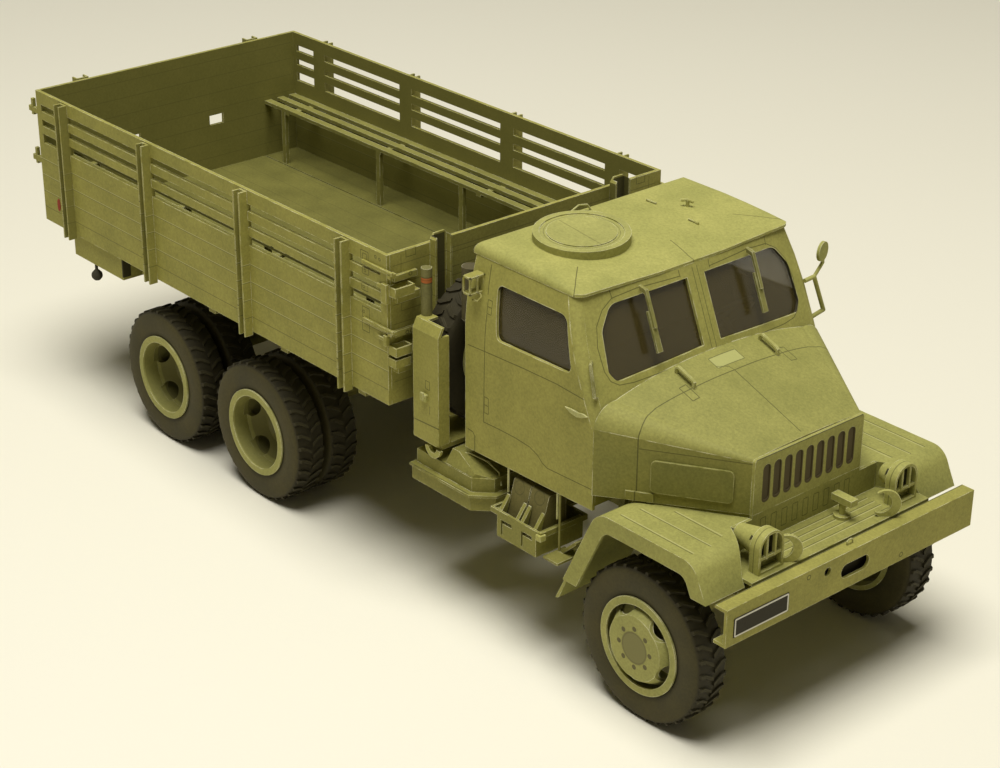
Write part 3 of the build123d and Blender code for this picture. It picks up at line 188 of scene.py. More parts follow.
# printed card: mottled ink, fine speckle, and cut edges where the paper core shows
printed, taken, given = effect(
    "printed_card", {"Light": "Color", "Dark": "Color", "Core": "Color", "Wear": "Float", "Edge": "Float"},
    {"Color": "Color", "Height": "Float", "Roughness": "Float"})
place = add(printed, "TexCoord").outputs["Object"]
mottle = add(printed, "TexNoise", in_0=place, in_2=95.0, in_3=4.0, in_4=0.62).outputs[0]
ink = blend(printed, ramp(printed, mottle, 0.32, 0.68), taken["Dark"], taken["Light"])
grain = add(printed, "TexNoise", in_0=place, in_2=1500.0, in_3=3.0, in_4=0.7).outputs[0]
speckled = scaled(printed, ink, ramp(printed, grain, 0.25, 0.75, 0.80, 1.18))
rounded = add(printed, "Bevel", samples=4, in_0=taken["Edge"]).outputs[0]
bend = vectors(printed, "DOT_PRODUCT", rounded, add(printed, "NewGeometry").outputs["Normal"])
rub = add(printed, "TexNoise", in_0=place, in_2=320.0, in_3=3.0).outputs[0]
worn = maths(printed, "MULTIPLY", ramp(printed, bend, 0.995, 0.86), ramp(printed, rub, 0.38, 0.56))
worn = maths(printed, "MULTIPLY", worn, taken["Wear"], clamp=True)
printed.links.new(blend(printed, worn, speckled, taken["Core"]), given["Color"])
printed.links.new(grain, given["Height"])
printed.links.new(ramp(printed, mottle, 0.0, 1.0, 0.62, 0.78), given["Roughness"])

olive_light = (0.410, 0.392, 0.112)
olive_dark = (0.325, 0.318, 0.086)
# darker, browner inks for the side panels: painted shade on the faces that look sideways
shaded_side_light = (0.350, 0.322, 0.078)
shaded_side_dark = (0.280, 0.262, 0.060)
# still darker inks for the parts under the body: painted shade
shaded_under_light = (0.260, 0.240, 0.058)
shaded_under_dark = (0.205, 0.190, 0.045)
card_core = (0.80, 0.77, 0.50)

# a printed stroke from one point to another
stroke, taken, given = effect("printed_stroke", {"Place": "Vector", "From": "Vector", "To": "Vector",
        "Half": "Float"}, {"Mask": "Float"})
start = vectors(stroke, "SUBTRACT", taken["Place"], taken["From"])
run = vectors(stroke, "SUBTRACT", taken["To"], taken["From"])
share = maths(stroke, "DIVIDE", vectors(stroke, "DOT_PRODUCT", start, run), vectors(stroke, "DOT_PRODUCT", run, run),
              clamp=True)
off = vectors(stroke, "DISTANCE", start, scaled(stroke, run, share))
stroke.links.new(faded(stroke, off, taken["Half"]), given["Mask"])

# a printed box with rounded corners: its outline, and the area within
boxed, taken, given = effect(
    "printed_box", {"Place": "Vector", "Centre": "Vector", "Size": "Vector", "Round": "Float", "Half": "Float"},
    {"Mask": "Float", "Within": "Float"})
shift = vectors(boxed, "ABSOLUTE", vectors(boxed, "SUBTRACT", taken["Place"], taken["Centre"]))
eased = add(boxed, "CombineXYZ", in_0=taken["Round"], in_1=taken["Round"], in_2=taken["Round"]).outputs[0]
past = vectors(boxed, "ADD", vectors(boxed, "SUBTRACT", shift, taken["Size"]), eased)
outside = vectors(boxed, "LENGTH", vectors(boxed, "MAXIMUM", past, (0, 0, 0)))
parts = add(boxed, "SeparateXYZ", in_0=past).outputs
most = maths(boxed, "MAXIMUM", maths(boxed, "MAXIMUM", parts[0], parts[1]), parts[2])
both = maths(boxed, "ADD", outside, maths(boxed, "MINIMUM", most, 0.0))
outlined(boxed, maths(boxed, "SUBTRACT", both, taken["Round"]), taken["Half"], given)

# a printed ring, and the disc within it
ringed, taken, given = effect("printed_ring", {"Place": "Vector", "Centre": "Vector", "Radius": "Float",
        "Half": "Float"}, {"Mask": "Float", "Within": "Float"})
far = vectors(ringed, "DISTANCE", taken["Place"], taken["Centre"])
outlined(ringed, maths(ringed, "SUBTRACT", far, taken["Radius"]), taken["Half"], given)

line_half = 0.085
line_ink = (0.052, 0.050, 0.014)
# the direction that a line drawn flat is seen along: from above, from the side or from the front
flat_views = {"plan": 2, "side": 1, "front": 0}


def mask_of(tree, mark, within=False):
    """The mask of one printed mark: a line, a box or a ring, in millimetres."""
    kind, *values = mark
    place = add(tree, "TexCoord").outputs["Object"]
    if kind == "box":
        centre, size, corner, half = values
        node = add(tree, "Group", node_tree=boxed, in_0=place, in_1=Vector(centre) * MM, in_2=Vector(size) * MM,
                   in_3=corner * MM, in_4=half * MM)
    elif kind == "ring":
        centre, radius, half = values
        node = add(tree, "Group", node_tree=ringed, in_0=place, in_1=Vector(centre) * MM, in_2=radius * MM,
                   in_3=half * MM)
    else:
        start, end, half = values
        if kind in flat_views:
            kept = [0.0 if i == flat_views[kind] else 1.0 for i in range(3)]
            place = vectors(tree, "MULTIPLY", place, kept)
        node = add(tree, "Group", node_tree=stroke, in_0=place, in_1=Vector(start) * MM, in_2=Vector(end) * MM,
                   in_3=half * MM)
    return node.outputs["Within" if within else "Mask"]


def inked(tree, colour, mask, ink, strength):
    """The colour with an ink laid over it where the mask is."""
    return blend(tree, maths(tree, "MULTIPLY", mask, strength), colour, ink)


def route(points, half=line_half, kind="line"):
    """Strokes that join the points one after another. A flat one's points leave out the direction of view."""
    if kind in flat_views:
        gap = flat_views[kind]
        points = [(*point[:gap], 0, *point[gap:]) for point in points]
    return [(kind, here, there, half) for here, there in zip(points, points[1:])]


def opposite(marks):
    """The same marks on the other side of the truck."""
    ends = {"box": 1, "ring": 1}
    return [(mark[0], *[(v[0], -v[1], v[2]) if i < ends.get(mark[0], 2) else v for i, v in enumerate(mark[1:])])
            for mark in marks]


def card(name, light=olive_light, dark=olive_dark, core=card_core, wear=0.95, edge=0.00024, marks=(), over=(),
         strength=0.72, line=line_ink, last=None):
    """Card printed in two inks, with lines. Marks in 'over' are filled with their own ink, and 'last' inks it all."""
    made, tree, shader = material(name)
    face = add(tree, "Group", node_tree=printed, in_0=light, in_1=dark, in_2=core, in_3=wear, in_4=edge)
    colour = face.outputs["Color"]
    for mark, ink, amount in over:
        colour = inked(tree, colour, mask_of(tree, mark, True), ink, amount)
    if marks:
        lines = mask_of(tree, marks[0])
        for mark in marks[1:]:
            lines = maths(tree, "MAXIMUM", lines, mask_of(tree, mark))
        colour = inked(tree, colour, lines, line, strength)
    if last:
        colour = last(tree, colour)
    rough = add(tree, "Bump", in_0=0.35, in_1=0.00006, in_3=face.outputs["Height"])
    tree.links.new(colour, shader.inputs["Base Color"])
    tree.links.new(face.outputs["Roughness"], shader.inputs["Roughness"])
    tree.links.new(rough.outputs[0], shader.inputs["Normal"])
    shader.inputs["Specular IOR Level"].default_value = 0.25
    return made


def dress(made, *nodes):
    """Puts a material on whole CAD nodes."""
    for node in nodes:
        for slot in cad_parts[node].material_slots:
            slot.material = made


olive_card = card("olive_card")
shaded_under_card = card("shaded_under_card", shaded_under_light, shaded_under_dark)
dress(shaded_under_card, "frame_rail_left", "frame_rail_right", "frame_crossmembers", "axles", "leaf_springs",
      "driveline", "fuel_tank", "bed_sills", "bed_crossbeams")
skirt_ends = [(("box", (-95.1, s * 44.6, 47.2), (0.4, 2.6, 3.4), 0, 0.06), (0.03, 0.026, 0.01), 0.95)
              for s in (-1, 1)]
dress(card("skirt_card", shaded_side_light, shaded_side_dark, over=skirt_ends), "rear_skirts")


# ---- front end ----------------------------------------------------------------------------------
# Bumper, ribbed deck, lamps, hooks, fenders, grille and hood, folded from the same printed card.
# Their joints, louvres and grooves are printed lines, and the small fittings are glued on.
# a paler olive for painted highlights beside ribs, grooves and plank edges
highlight_ink = (0.60, 0.57, 0.27)
slot_ink = (0.088, 0.068, 0.030)
bumper_face = 139.1
bumper_card = card("bumper_card", shaded_side_light, shaded_side_dark, marks=[
    ("ring", (bumper_face, -15.8, 40.4), 0.55, 0.09), ("ring", (bumper_face, 16.3, 34.2), 0.55, 0.09),
    ("line", (135.6, -41.9, 42.1), (135.6, 41.9, 42.1), 0.12)])
dress(bumper_card, "front_bumper")

deck_z = 42.5
rib_places = (125.6, 127.7, 129.8, 132.0)
deck_marks = [("line", (x, -19.0, deck_z), (x, 19.0, deck_z), line_half) for x in rib_places]
slot_places = [(i - 4) * 3.55 for i in range(9)]
louvres = [("box", (123.5, y - 0.3, 46.2), (0.6, 0.85, 2.2), 0.2, 0.07) for y in slot_places]
# painted highlights along the ribs' edges
deck_highlights = [(("box", (x + 0.32, 0, deck_z), (0.11, 19.0, 0.4), 0, 0.05), highlight_ink, 0.45) for x in rib_places]
dress(card("deck_card", (0.315, 0.300, 0.080), (0.250, 0.242, 0.063), marks=deck_marks + louvres, over=deck_highlights),
      "front_deck")
dress(olive_card, "deck_fittings")

lamp_places = ((130.2, -22.8), (129.2, 23.9))
lamp_seams = [(("box", (x + 2.0, y, 48), (0.10, 5, 6), 0, 0.05), line_ink, 0.6) for x, y in lamp_places]
# the lamps' openings inked near black: painted shade inside them
lamp_well_shade = [(("box", (x + 1.1, y, 47.4), (1.6, 2.9, 3.1), 0, 0.1), (0.02, 0.018, 0.008), 0.92)
              for x, y in lamp_places]
dress(card("lamp_card", over=lamp_well_shade + lamp_seams), "headlamps")

fender_z = 49.2
grooves = [((102.9, -39.1), (125.6, -39.2)), ((103.9, -33.9), (125.8, -33.8)), ((109.8, -28.8), (124.2, -29.0))]
groove_marks = [("line", (x0, y0, fender_z), (x1, y1, fender_z), line_half) for (x0, y0), (x1, y1) in grooves]
# painted highlights along the grooves' edges
groove_highlights = [(("box", ((x0 + x1) / 2, s * (abs(y0) - 0.35), fender_z), ((x1 - x0) / 2, 0.12, 0.4), 0, 0.05),
                highlight_ink, 0.45) for (x0, y0), (x1, y1) in grooves for s in (-1, 1)]
dress(card("fender_card", (0.352, 0.338, 0.094), (0.280, 0.273, 0.073), marks=groove_marks
           + opposite(groove_marks), over=groove_highlights), "fender_left", "fender_right")

slots = [(("box", (123.5, y, 57.05), (1.0, 1.25, 4.75), 1.2, 0.1), slot_ink, 1.0) for y in slot_places]
slot_rims = [("line", (123.52, -18.1, 63.9), (123.52, 18.1, 63.9), 0.1)]
dress(card("grille_card", (0.375, 0.355, 0.100), (0.300, 0.290, 0.080), over=slots, marks=slot_rims), "grille_panel")

lid = [(100.8, -33.2), (100.8, -31.6), (100.4, -30.2), (99.6, -28.0), (99.2, -25.4), (99.25, -21.6), (99.4, -17.1),
       (99.6, -13.5), (99.9, -0.4)]
lid_marks = route(lid + [(x, -y) for x, y in reversed(lid[:-1])], kind="plan")
hinge_size = (2.25, 1.05, 2.2)
data_plate = ("box", (96.2, 0.3, 73.0), (1.65, 4.4, 2.0), 0.3, 0.07)
hood_marks = lid_marks + route([(99.9, -0.8), (121.3, -1.2)], kind="plan")
hood_marks += [("box", (x, y, 71.2), hinge_size, 0.1, 0.08) for x, y in ((100.2, -15.8), (100.1, 17.0))]
hood_marks.append(data_plate)
hood_marks += route([(97.2, -4.0), (98.4, -1.2), (99.9, -0.8)], 0.06, "plan")
# a dark line along the fold under the hood top's edge: painted shade
fold_shade_line = [(("box", (112.0, 0, 62.75), (11.0, 60, 0.09), 0, 0.06), line_ink, 0.6)]
dress(card("hood_card", (0.325, 0.310, 0.084), (0.255, 0.248, 0.064), marks=hood_marks,
           over=[(data_plate, (0.47, 0.47, 0.17), 0.7)]), "hood_top")
# darker inks for the hood's sides, tabs and flanges: painted shade
shaded_hood_side_card = card("shaded_hood_side_card", (0.262, 0.246, 0.058), (0.205, 0.198, 0.046), marks=lid_marks, over=fold_shade_line)
dress(shaded_hood_side_card, "hood_side_left", "hood_side_right")


def mode(name):
    """Goes into object mode or edit mode."""
    bpy.ops.object.mode_set(mode=name)


def begin():
    """Leaves edit mode and deselects everything, so that the next primitive is worked on alone."""
    if bpy.context.object and bpy.context.object.mode != "OBJECT":
        mode("OBJECT")
    bpy.ops.object.select_all(action="DESELECT")


def work_on(piece):
    """Takes up one piece alone."""
    begin()
    piece.select_set(True)
    bpy.context.view_layer.objects.active = piece


def drawn(name, points, filled=True):
    """A face drawn corner by corner: one point is extruded along the outline, then the outline is filled."""
    begin()
    bpy.ops.mesh.primitive_plane_add(size=MM)
    piece = bpy.context.object
    piece.name = piece.data.name = name
    mode("EDIT")
    bpy.ops.mesh.select_mode(type="VERT")
    bpy.ops.mesh.select_all(action="SELECT")
    bpy.ops.mesh.merge(type="CENTER")
    points = [Vector(p) * MM for p in points]
    bpy.ops.transform.translate(value=points[0])
    for here, there in zip(points, points[1:]):
        bpy.ops.mesh.extrude_vertices_move(TRANSFORM_OT_translate={"value": there - here})
    bpy.ops.mesh.select_all(action="SELECT")
    if filled:
        bpy.ops.mesh.edge_face_add()
    return piece


def push(*way):
    """Extrudes what is selected along a way in millimetres."""
    bpy.ops.mesh.extrude_region_move(TRANSFORM_OT_translate={"value": Vector(way) * MM})


def close_up():
    """Turns every face of the piece outwards."""
    bpy.ops.mesh.select_all(action="SELECT")
    bpy.ops.mesh.normals_make_consistent(inside=False)


def slab(name, points, thickness, soften=0.0):
    """A drawn face pushed out to a thickness, its edges eased."""
    piece = drawn(name, points)
    push(*thickness)
    close_up()
    if soften:
        bpy.ops.mesh.bevel(offset=soften * MM, segments=1, affect="EDGES")
    mode("OBJECT")
    return piece


def wire(name, points, radius):
    """A round wire bent along the points."""
    drawn(name, points, False)
    mode("OBJECT")
    bpy.ops.object.convert(target="CURVE")
    piece = bpy.context.object
    piece.data.bevel_depth = radius * MM
    piece.data.bevel_resolution = 2
    piece.data.use_fill_caps = True
    bpy.ops.object.convert(target="MESH")
    piece = bpy.context.object
    piece.name = piece.data.name = name
    return piece


def copied(piece, name, place=Matrix.Identity(4)):
    """A copy with a mesh of its own, moved in the mesh."""
    twin = piece.copy()
    twin.data = piece.data.copy()
    twin.name = twin.data.name = name
    bpy.context.collection.objects.link(twin)
    twin.parent = None
    twin.matrix_world = Matrix.Identity(4)
    twin.data.transform(place)
    if place.determinant() < 0:
        twin.data.flip_normals()
    return twin


def mirrored(piece, name):
    """The same piece on the other side of the truck."""
    return copied(piece, name, Matrix.Diagonal((1, -1, 1, 1)))


def joined(name, pieces):
    """Several loose pieces made one."""
    begin()
    for piece in pieces:
        piece.select_set(True)
    bpy.context.view_layer.objects.active = pieces[0]
    bpy.ops.object.transform_apply(location=True, rotation=True, scale=True)
    bpy.ops.object.join()
    whole = bpy.context.object
    whole.name = whole.data.name = name
    return whole


def pair(name, piece):
    """A piece and its twin on the other side of the truck, made one."""
    return joined(name, [piece, mirrored(piece, name + "_far")])


soft_angle = math.radians(35)


def finished(piece, made, body="truck"):
    """Lays the material on a piece, smooths its soft edges and hangs it on a body."""
    work_on(piece)
    bpy.ops.object.transform_apply(location=True, rotation=True, scale=True)
    piece.data.materials.clear()
    piece.data.materials.append(made)
    bpy.ops.object.shade_smooth_by_angle(angle=soft_angle)
    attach(piece, body)


def both_sides(name, pieces, made):
    """Makes the pieces one, and finishes it and its twin on the other side."""
    near = joined(name + "_right", pieces)
    far = mirrored(near, name + "_left")
    finished(near, made)
    finished(far, made)


# blank plate: a dark card with a white printed border. The same card backs the slot in the bumper as painted shade
# behind it.
plate_ink = (0.024, 0.020, 0.009)
plate_card = card("plate_card", plate_ink, plate_ink, (0.3, 0.28, 0.2), 0.4, strength=0.9, line=(0.80, 0.77, 0.66),
                  over=[(("box", (139.4, -30.9, 36.85), (3, 30, 30), 0, 0.1), plate_ink, 0.2)],
                  marks=[("box", (139.3, -30.95, 36.85), (3.0, 8.35, 2.1), 0.25, 0.13)])
finished(slab("number_plate", [(139.0, -39.6, 34.5), (139.0, -22.3, 34.5), (139.0, -22.3, 39.2),
        (139.0, -39.6, 39.2)], (0.35, 0, 0), 0.06), plate_card)
finished(slab("slot_shade_backing", [(136.9, -7.5, 33.2), (136.9, 7.5, 33.2), (136.9, 7.5, 41.0), (136.9, -7.5, 41.0)],
              (-0.3, 0, 0)), plate_card)
finished(wire("bumper_loop", [(136.9, -0.9, 41.9), (136.9, -0.9, 42.9), (136.9, -0.4, 43.3), (136.9, 0.5, 43.3),
                              (136.9, 1.0, 42.9), (136.9, 1.0, 41.9)], 0.2), olive_card)

near_bar = wire("hood_bar", [(93.9, -13.9, 73.4), (94.2, -13.9, 74.7), (94.8, -13.9, 75.0), (99.2, -13.9, 73.4),
                             (99.7, -13.9, 73.0), (99.6, -13.9, 71.6)], 0.55)
finished(pair("hood_bars", near_bar), olive_card)

vent_start = Vector((103.4, -30.6))
vent_run = Vector((16.1, 10.4)).normalized()
vent_out = Vector((vent_run.y, -vent_run.x))


def on_hood_side(u, z, lift=0.0):
    """A point on the right side of the hood, from the distance along it and the height."""
    at = vent_start + vent_run * u + vent_out * lift
    return (at.x, at.y, z)


def eased_box(u0, u1, z0, z1, corner, steps=4):
    """The outline of a box with rounded corners, as distances along and heights."""
    outline = []
    for u, z, first in ((u1 - corner, z0 + corner, 270), (u1 - corner, z1 - corner, 0),
                        (u0 + corner, z1 - corner, 90), (u0 + corner, z0 + corner, 180)):
        for step in range(steps + 1):
            angle = math.radians(first + 90 * step / steps)
            outline.append((u + corner * math.cos(angle), z + corner * math.sin(angle)))
    return outline


vent_card = card("vent_card", (0.225, 0.215, 0.050), (0.175, 0.172, 0.040), (0.50, 0.47, 0.20), 1.3, 0.0004)
vent = slab("vent", [on_hood_side(u, z, -0.1) for u, z in eased_box(0.1, 19.1, 52.4, 60.5, 1.3)],
            (vent_out.x * 0.65, vent_out.y * 0.65, 0))
finished(pair("hood_vents", vent), vent_card)
tab = slab("tab", [on_hood_side(u, z, -0.1) for u, z in ((-5.6, 49.7), (1.0, 49.7), (1.0, 52.0), (-5.6, 52.0))],
           (vent_out.x * 0.5, vent_out.y * 0.5, 0), 0.05)
finished(pair("hood_tabs", tab), shaded_hood_side_card)
# a folded flange closes the joint between the hood side and the fender
flange = slab("flange", [on_hood_side(u, z, -0.3) for u, z in ((-4.0, 48.4), (22.9, 48.4), (22.9, 50.4),
        (-4.0, 50.4))], (-vent_out.x * 0.5, -vent_out.y * 0.5, 0))
finished(pair("hood_flanges", flange), shaded_hood_side_card)


# ---- cab ----------------------------------------------------------------------------------------
# A card shell printed with its door, belt and seam lines, its inside faces inked dark as painted shade.
# Clear film is glued behind the window openings, tinted dark brown as painted shade of the cab's inside seen through
# it.
cab_centre = (70.0, 0.0, 70.0)
cab_shade_ink = (0.045, 0.038, 0.022)


def facing(tree, centre, low, high):
    """A mask of the faces that look in towards a point."""
    spoke = vectors(tree, "SUBTRACT", add(tree, "TexCoord").outputs["Object"], Vector(centre) * MM)
    return ramp(tree, vectors(tree, "DOT_PRODUCT", spoke, add(tree, "NewGeometry").outputs["Normal"]), low, high)


def dark_inside(tree, colour):
    """Inks the faces that look into the cab dark, as painted shade."""
    return inked(tree, colour, facing(tree, cab_centre, -0.012, -0.016), cab_shade_ink, 1.0)


# the door's edge, the belt line, hinges, the sill's step and the seam down the front corner
door_lines = ([(53.6, 92.8), (54.2, 86.0)], [(54.6, 81.2), (54.2, 72.0), (53.9, 53.1)],
              [(53.9, 53.1), (59.5, 53.3), (65.4, 53.3), (70.5, 52.9), (73.2, 51.9), (75.0, 50.4), (76.6, 49.8),
               (84.5, 50.1), (92.0, 50.4)], [(48.2, 71.4), (53.9, 71.7), (68.0, 72.3), (79.1, 72.5), (91.0, 71.8)],
              [(79.5, 93.9), (81.7, 92.6), (83.0, 90.6), (84.3, 87.0), (85.3, 84.2)])
door_marks = [mark for points in door_lines for mark in route(points, kind="side")]
door_marks += route([(50.7, 43.9), (50.7, 48.0), (50.0, 48.9), (48.2, 49.1)], 0.1, "side")
door_marks += route([(54.6, 83.2), (56.0, 83.2)], 0.07, "side") + route([(54.2, 57.8), (55.6, 57.8)], 0.07, "side")
door_marks += [("box", (x, s * y, z), (0.75, 2.0, tall), 0.15, 0.07) for s in (-1, 1)
               for x, y, z, tall in ((55.3, 36.9, 83.2, 1.7), (54.9, 37.5, 57.8, 2.1))]
cab_card = card("cab_card", shaded_side_light, shaded_side_dark, wear=1.0, edge=0.0003, marks=door_marks, last=dark_inside)
dress(cab_card, "cab_side_left", "cab_side_right", "cab_back", "cab_floor")

seams = route([(72.6, -25.5), (74.8, -27.8), (76.8, -29.9), (79.0, -32.1), (81.3, -34.6)], kind="plan")
roof_marks = seams + opposite(seams) + route([(74.7, 2.2), (78.7, 1.4), (82.2, 0.5), (84.3, 0.3)], kind="plan")
dress(card("roof_card", marks=roof_marks, last=dark_inside), "cab_roof")

hatch_centre = (62.15, -14.55, 98.9)
hatch_marks = [("ring", hatch_centre, 9.0, 0.08), ("line", (54.2, -14.6, 99.0), (71.0, -16.2, 98.4), 0.11)]
dress(card("hatch_card", (0.395, 0.380, 0.115), (0.320, 0.312, 0.092), marks=hatch_marks, strength=0.4), "roof_hatch")

# rims printed round the windscreen openings, and the joint ticks of the header strip
screen_marks = route([(-4.9, 92.0), (-18.0, 92.4), (-25.3, 91.8), (-28.6, 89.9), (-31.0, 87.0), (-32.2, 82.6),
        (-32.0, 77.4), (-31.0, 75.1), (-29.0, 73.9), (-25.0, 73.6), (-10.0, 74.1), (-2.4, 74.6)], 0.07, "front")
screen_marks += route([(-25.4, 93.6), (-25.2, 91.6)], 0.08, "front")
screen_marks += route([(-4.9, 93.3), (-4.8, 91.8)], 0.08, "front")
screen_marks += opposite(screen_marks)
for y in (-0.6, 0.9):
    screen_marks += route([(y, 93.0), (y, 75.0)], 0.06, "front")
screen_light = (0.375, 0.350, 0.092)
screen_dark = (0.300, 0.285, 0.072)
dress(card("screen_card", screen_light, screen_dark, marks=screen_marks, wear=1.2, edge=0.0003, last=dark_inside),
      "windscreen_frame")
wiper_card = card("wiper_card", (0.270, 0.255, 0.075), (0.180, 0.170, 0.050))
dress(wiper_card, "wipers")
dress(olive_card, "mirror_and_handle")
dress(shaded_under_card, "cab_steps")

dark_card = card("dark_card", (0.05, 0.045, 0.026), (0.035, 0.03, 0.018), (0.12, 0.11, 0.07))
dress(dark_card, "cab_seat", "dashboard")

film, film_tree, film_shader = material("window_film")
film_place = add(film_tree, "TexCoord").outputs["Object"]
smear = add(film_tree, "TexNoise", in_0=film_place, in_2=70.0, in_3=2.0)
# the film's dark brown tint is painted shade of the cab's inside, varied by smears
film_shade_tint = blend(film_tree, smear.outputs[0], (0.078, 0.060, 0.018), (0.105, 0.082, 0.028))
film_tree.links.new(film_shade_tint, film_shader.inputs["Base Color"])
film_tree.links.new(ramp(film_tree, smear.outputs[0], 0.0, 1.0, 0.08, 0.2), film_shader.inputs["Roughness"])
film_shader.inputs["Alpha"].default_value = 0.5
dress(film, "window_glass")

# door handles, cut from thin pale card and glued on by one end
grip = slab("door_grip", [(82.5, -37.4, 68.1), (84.2, -37.4, 67.2), (86.4, -37.4, 66.9), (88.4, -37.4, 67.4),
        (90.0, -37.4, 68.2), (88.6, -37.4, 68.5), (87.0, -37.4, 68.2), (84.6, -37.4, 68.3)], (0, -0.45, 0), 0.08)
handle_card = card("handle_card", (0.50, 0.48, 0.19), (0.42, 0.41, 0.15))
finished(pair("door_grips", grip), handle_card)
grab = wire("grab_bar", [(87.6, -34.6, 80.2), (88.6, -35.9, 80.0), (91.3, -37.0, 73.4), (90.8, -35.9, 72.6)], 0.4)
finished(grab, wiper_card)

# roof fittings: two staples, a T-shaped catch and the hatch's wire stay
staples = [wire("staple_%d" % i, [(x0, y, z - 0.5), (x0, y, z + 0.5), (x1, y + 0.2, z + 0.4),
        (x1, y + 0.2, z - 0.6)], 0.22) for i, (x0, x1, y, z) in enumerate(((54.6, 57.6, 14.0, 96.8),
        (69.4, 72.4, 13.6, 96.2)))]
tee_stem = wire("tee_stem", [(63.2, 19.4, 96.0), (63.2, 19.4, 98.0)], 0.45)
tee_head = wire("tee_head", [(62.0, 18.2, 98.2), (63.2, 19.4, 98.3), (64.5, 20.1, 97.9)], 0.4)
stay = wire("hatch_stay", [(51.6, -8.4, 96.4), (50.6, -7.4, 98.2), (50.0, -4.4, 98.9), (50.0, -1.6, 98.4),
        (50.4, -0.4, 96.6)], 0.25)
finished(joined("roof_fittings", staples + [tee_stem, tee_head, stay]), olive_card)


# ---- bed ----------------------------------------------------------------------------------------
# Boards printed with planks, outside posts, and a slatted bench along each side.
# Straps, hooks and open trays at the front corners are separate scraps of card.
plank_ink = (0.13, 0.12, 0.035)
bed_mid = -53.3
# plank lines on the sides: the pale ones are painted highlights on the planks' edges, the lowest a dark joint
plank_lines_and_highlights = [(("box", (bed_mid, 0, z), (81.0, 60.0, 0.07), 0, 0.06), ink, amount)
               for z, ink, amount in ((69.4, highlight_ink, 0.6), (64.5, highlight_ink, 0.6), (59.5, highlight_ink, 0.55),
        (54.4, plank_ink, 0.85))]
plank_shadows = [(("box", (bed_mid, 0, z - 0.2), (81.0, 60.0, 0.07), 0, 0.06), plank_ink, 0.7)
                 for z in (69.4, 64.5, 59.5)]
# near black patches at the side's gaps: painted shade seen through them
gap_shade_ink = (0.012, 0.011, 0.006)
gap_shade_spots = [(("box", (x, s * 45.7, z), (half, 0.4, 0.38), 0.1, 0.06), gap_shade_ink, 1.0) for s in (-1, 1)
         for x, z, half in ((-89.3, 80.7, 1.3), (-88.5, 76.5, 1.1), (-98.2, 76.6, 0.6), (-47.1, 80.8, 1.1),
        (-47.6, 76.6, 1.0), (-55.5, 76.5, 0.7), (-13.0, 80.8, 1.2), (-12.6, 76.9, 1.0), (-19.2, 77.0, 0.7))]
latch_marks = [("box", (x, -45.7, z), (half, 0.5, tall), 0.2, 0.07)
               for x, z, half, tall in ((19.3, 86.9, 1.5, 1.5), (19.4, 86.9, 0.8, 0.8), (19.6, 83.3, 1.2, 0.9),
        (19.2, 78.9, 1.2, 0.9), (19.4, 72.2, 1.4, 1.4), (19.3, 68.5, 1.4, 1.3))]
latch_marks += [("ring", (x, -45.7, z), 0.35, 0.07) for x, z in ((23.6, 88.2), (25.2, 88.0), (18.6, 72.3),
        (19.4, 83.3), (18.8, 78.9))]
# the posts' printed joints
post_joints = [("line", (x - 1.9, -48.2, z), (x + 1.9, -48.2, z), 0.1) for x in (-121.4, -77.7, -33.0, 10.9)
               for z in (57.5, 73.0)]
bed_inside_ink = (0.150, 0.140, 0.034)
# ink for painted shade on the posts
post_shade_ink = (0.045, 0.040, 0.014)


def shaded_inside(tree, colour):
    """Inks the faces that look into the bed darker."""
    return inked(tree, colour, facing(tree, (bed_mid, 0.0, 72.0), -0.020, -0.026), bed_inside_ink, 0.62)


def shaded_posts(tree, colour):
    """The same, with the posts' rear faces darker too."""
    split = add(tree, "SeparateXYZ", in_0=add(tree, "NewGeometry").outputs["Normal"])
    return inked(tree, shaded_inside(tree, colour), ramp(tree, split.outputs[0], -0.8, -0.95), post_shade_ink, 0.72)


side_card = card("side_card", shaded_side_light, shaded_side_dark, over=plank_lines_and_highlights + plank_shadows + gap_shade_spots, last=shaded_posts,
                 marks=latch_marks + opposite(latch_marks) + post_joints + opposite(post_joints))
dress(side_card, "bed_side_left", "bed_side_right")

inner_planks = [(("box", (0, 0, z), (200.0, 43.8, 0.08), 0, 0.06), plank_ink, 0.6)
                for z in (86.6, 81.6, 76.4, 71.3, 66.2, 61.0, 56.0)]
dress(card("tailgate_card", shaded_side_light, shaded_side_dark, over=inner_planks, last=shaded_inside), "tailgate")

corner_marks = route([(28.0, -41.3, 74.4), (28.0, -41.3, 89.0)])
corner_marks += [mark for z in (74.3, 79.3) for mark in route([(28.0, -41.3, z), (28.0, -30.5, z)])]
corner_marks += [("ring", (28.7, y, z), 0.45, 0.08) for y, z in ((-39.1, 83.8), (-40.3, 68.7), (-38.9, 68.7))]
corner_marks.append(("box", (28.0, -38.3, 88.9), (0.5, 1.5, 1.0), 0.1, 0.06))
board_marks = [mark for z in (85.4, 79.3, 74.3, 68.4) for mark in route([(28.0, -28.0, z), (28.0, 28.0, z)])]
board_marks += corner_marks + opposite(corner_marks)
# the posts' fronts on the board inked dark: painted shade inside their channels
post_front_shade = [(("box", (28.9, s * 30.1, 78.4), (0.9, 1.9, 13.2), 0.1, 0.06), post_shade_ink, 0.9) for s in (-1, 1)]
dress(card("board_card", shaded_side_light, shaded_side_dark, marks=board_marks, over=inner_planks
           + post_front_shade, last=shaded_inside), "bed_front_board")

floor_planks = [("line", (-133.0, y, 52.0), (26.5, y, 52.0), 0.07) for y in [7.6 * i for i in range(-5, 6)]]
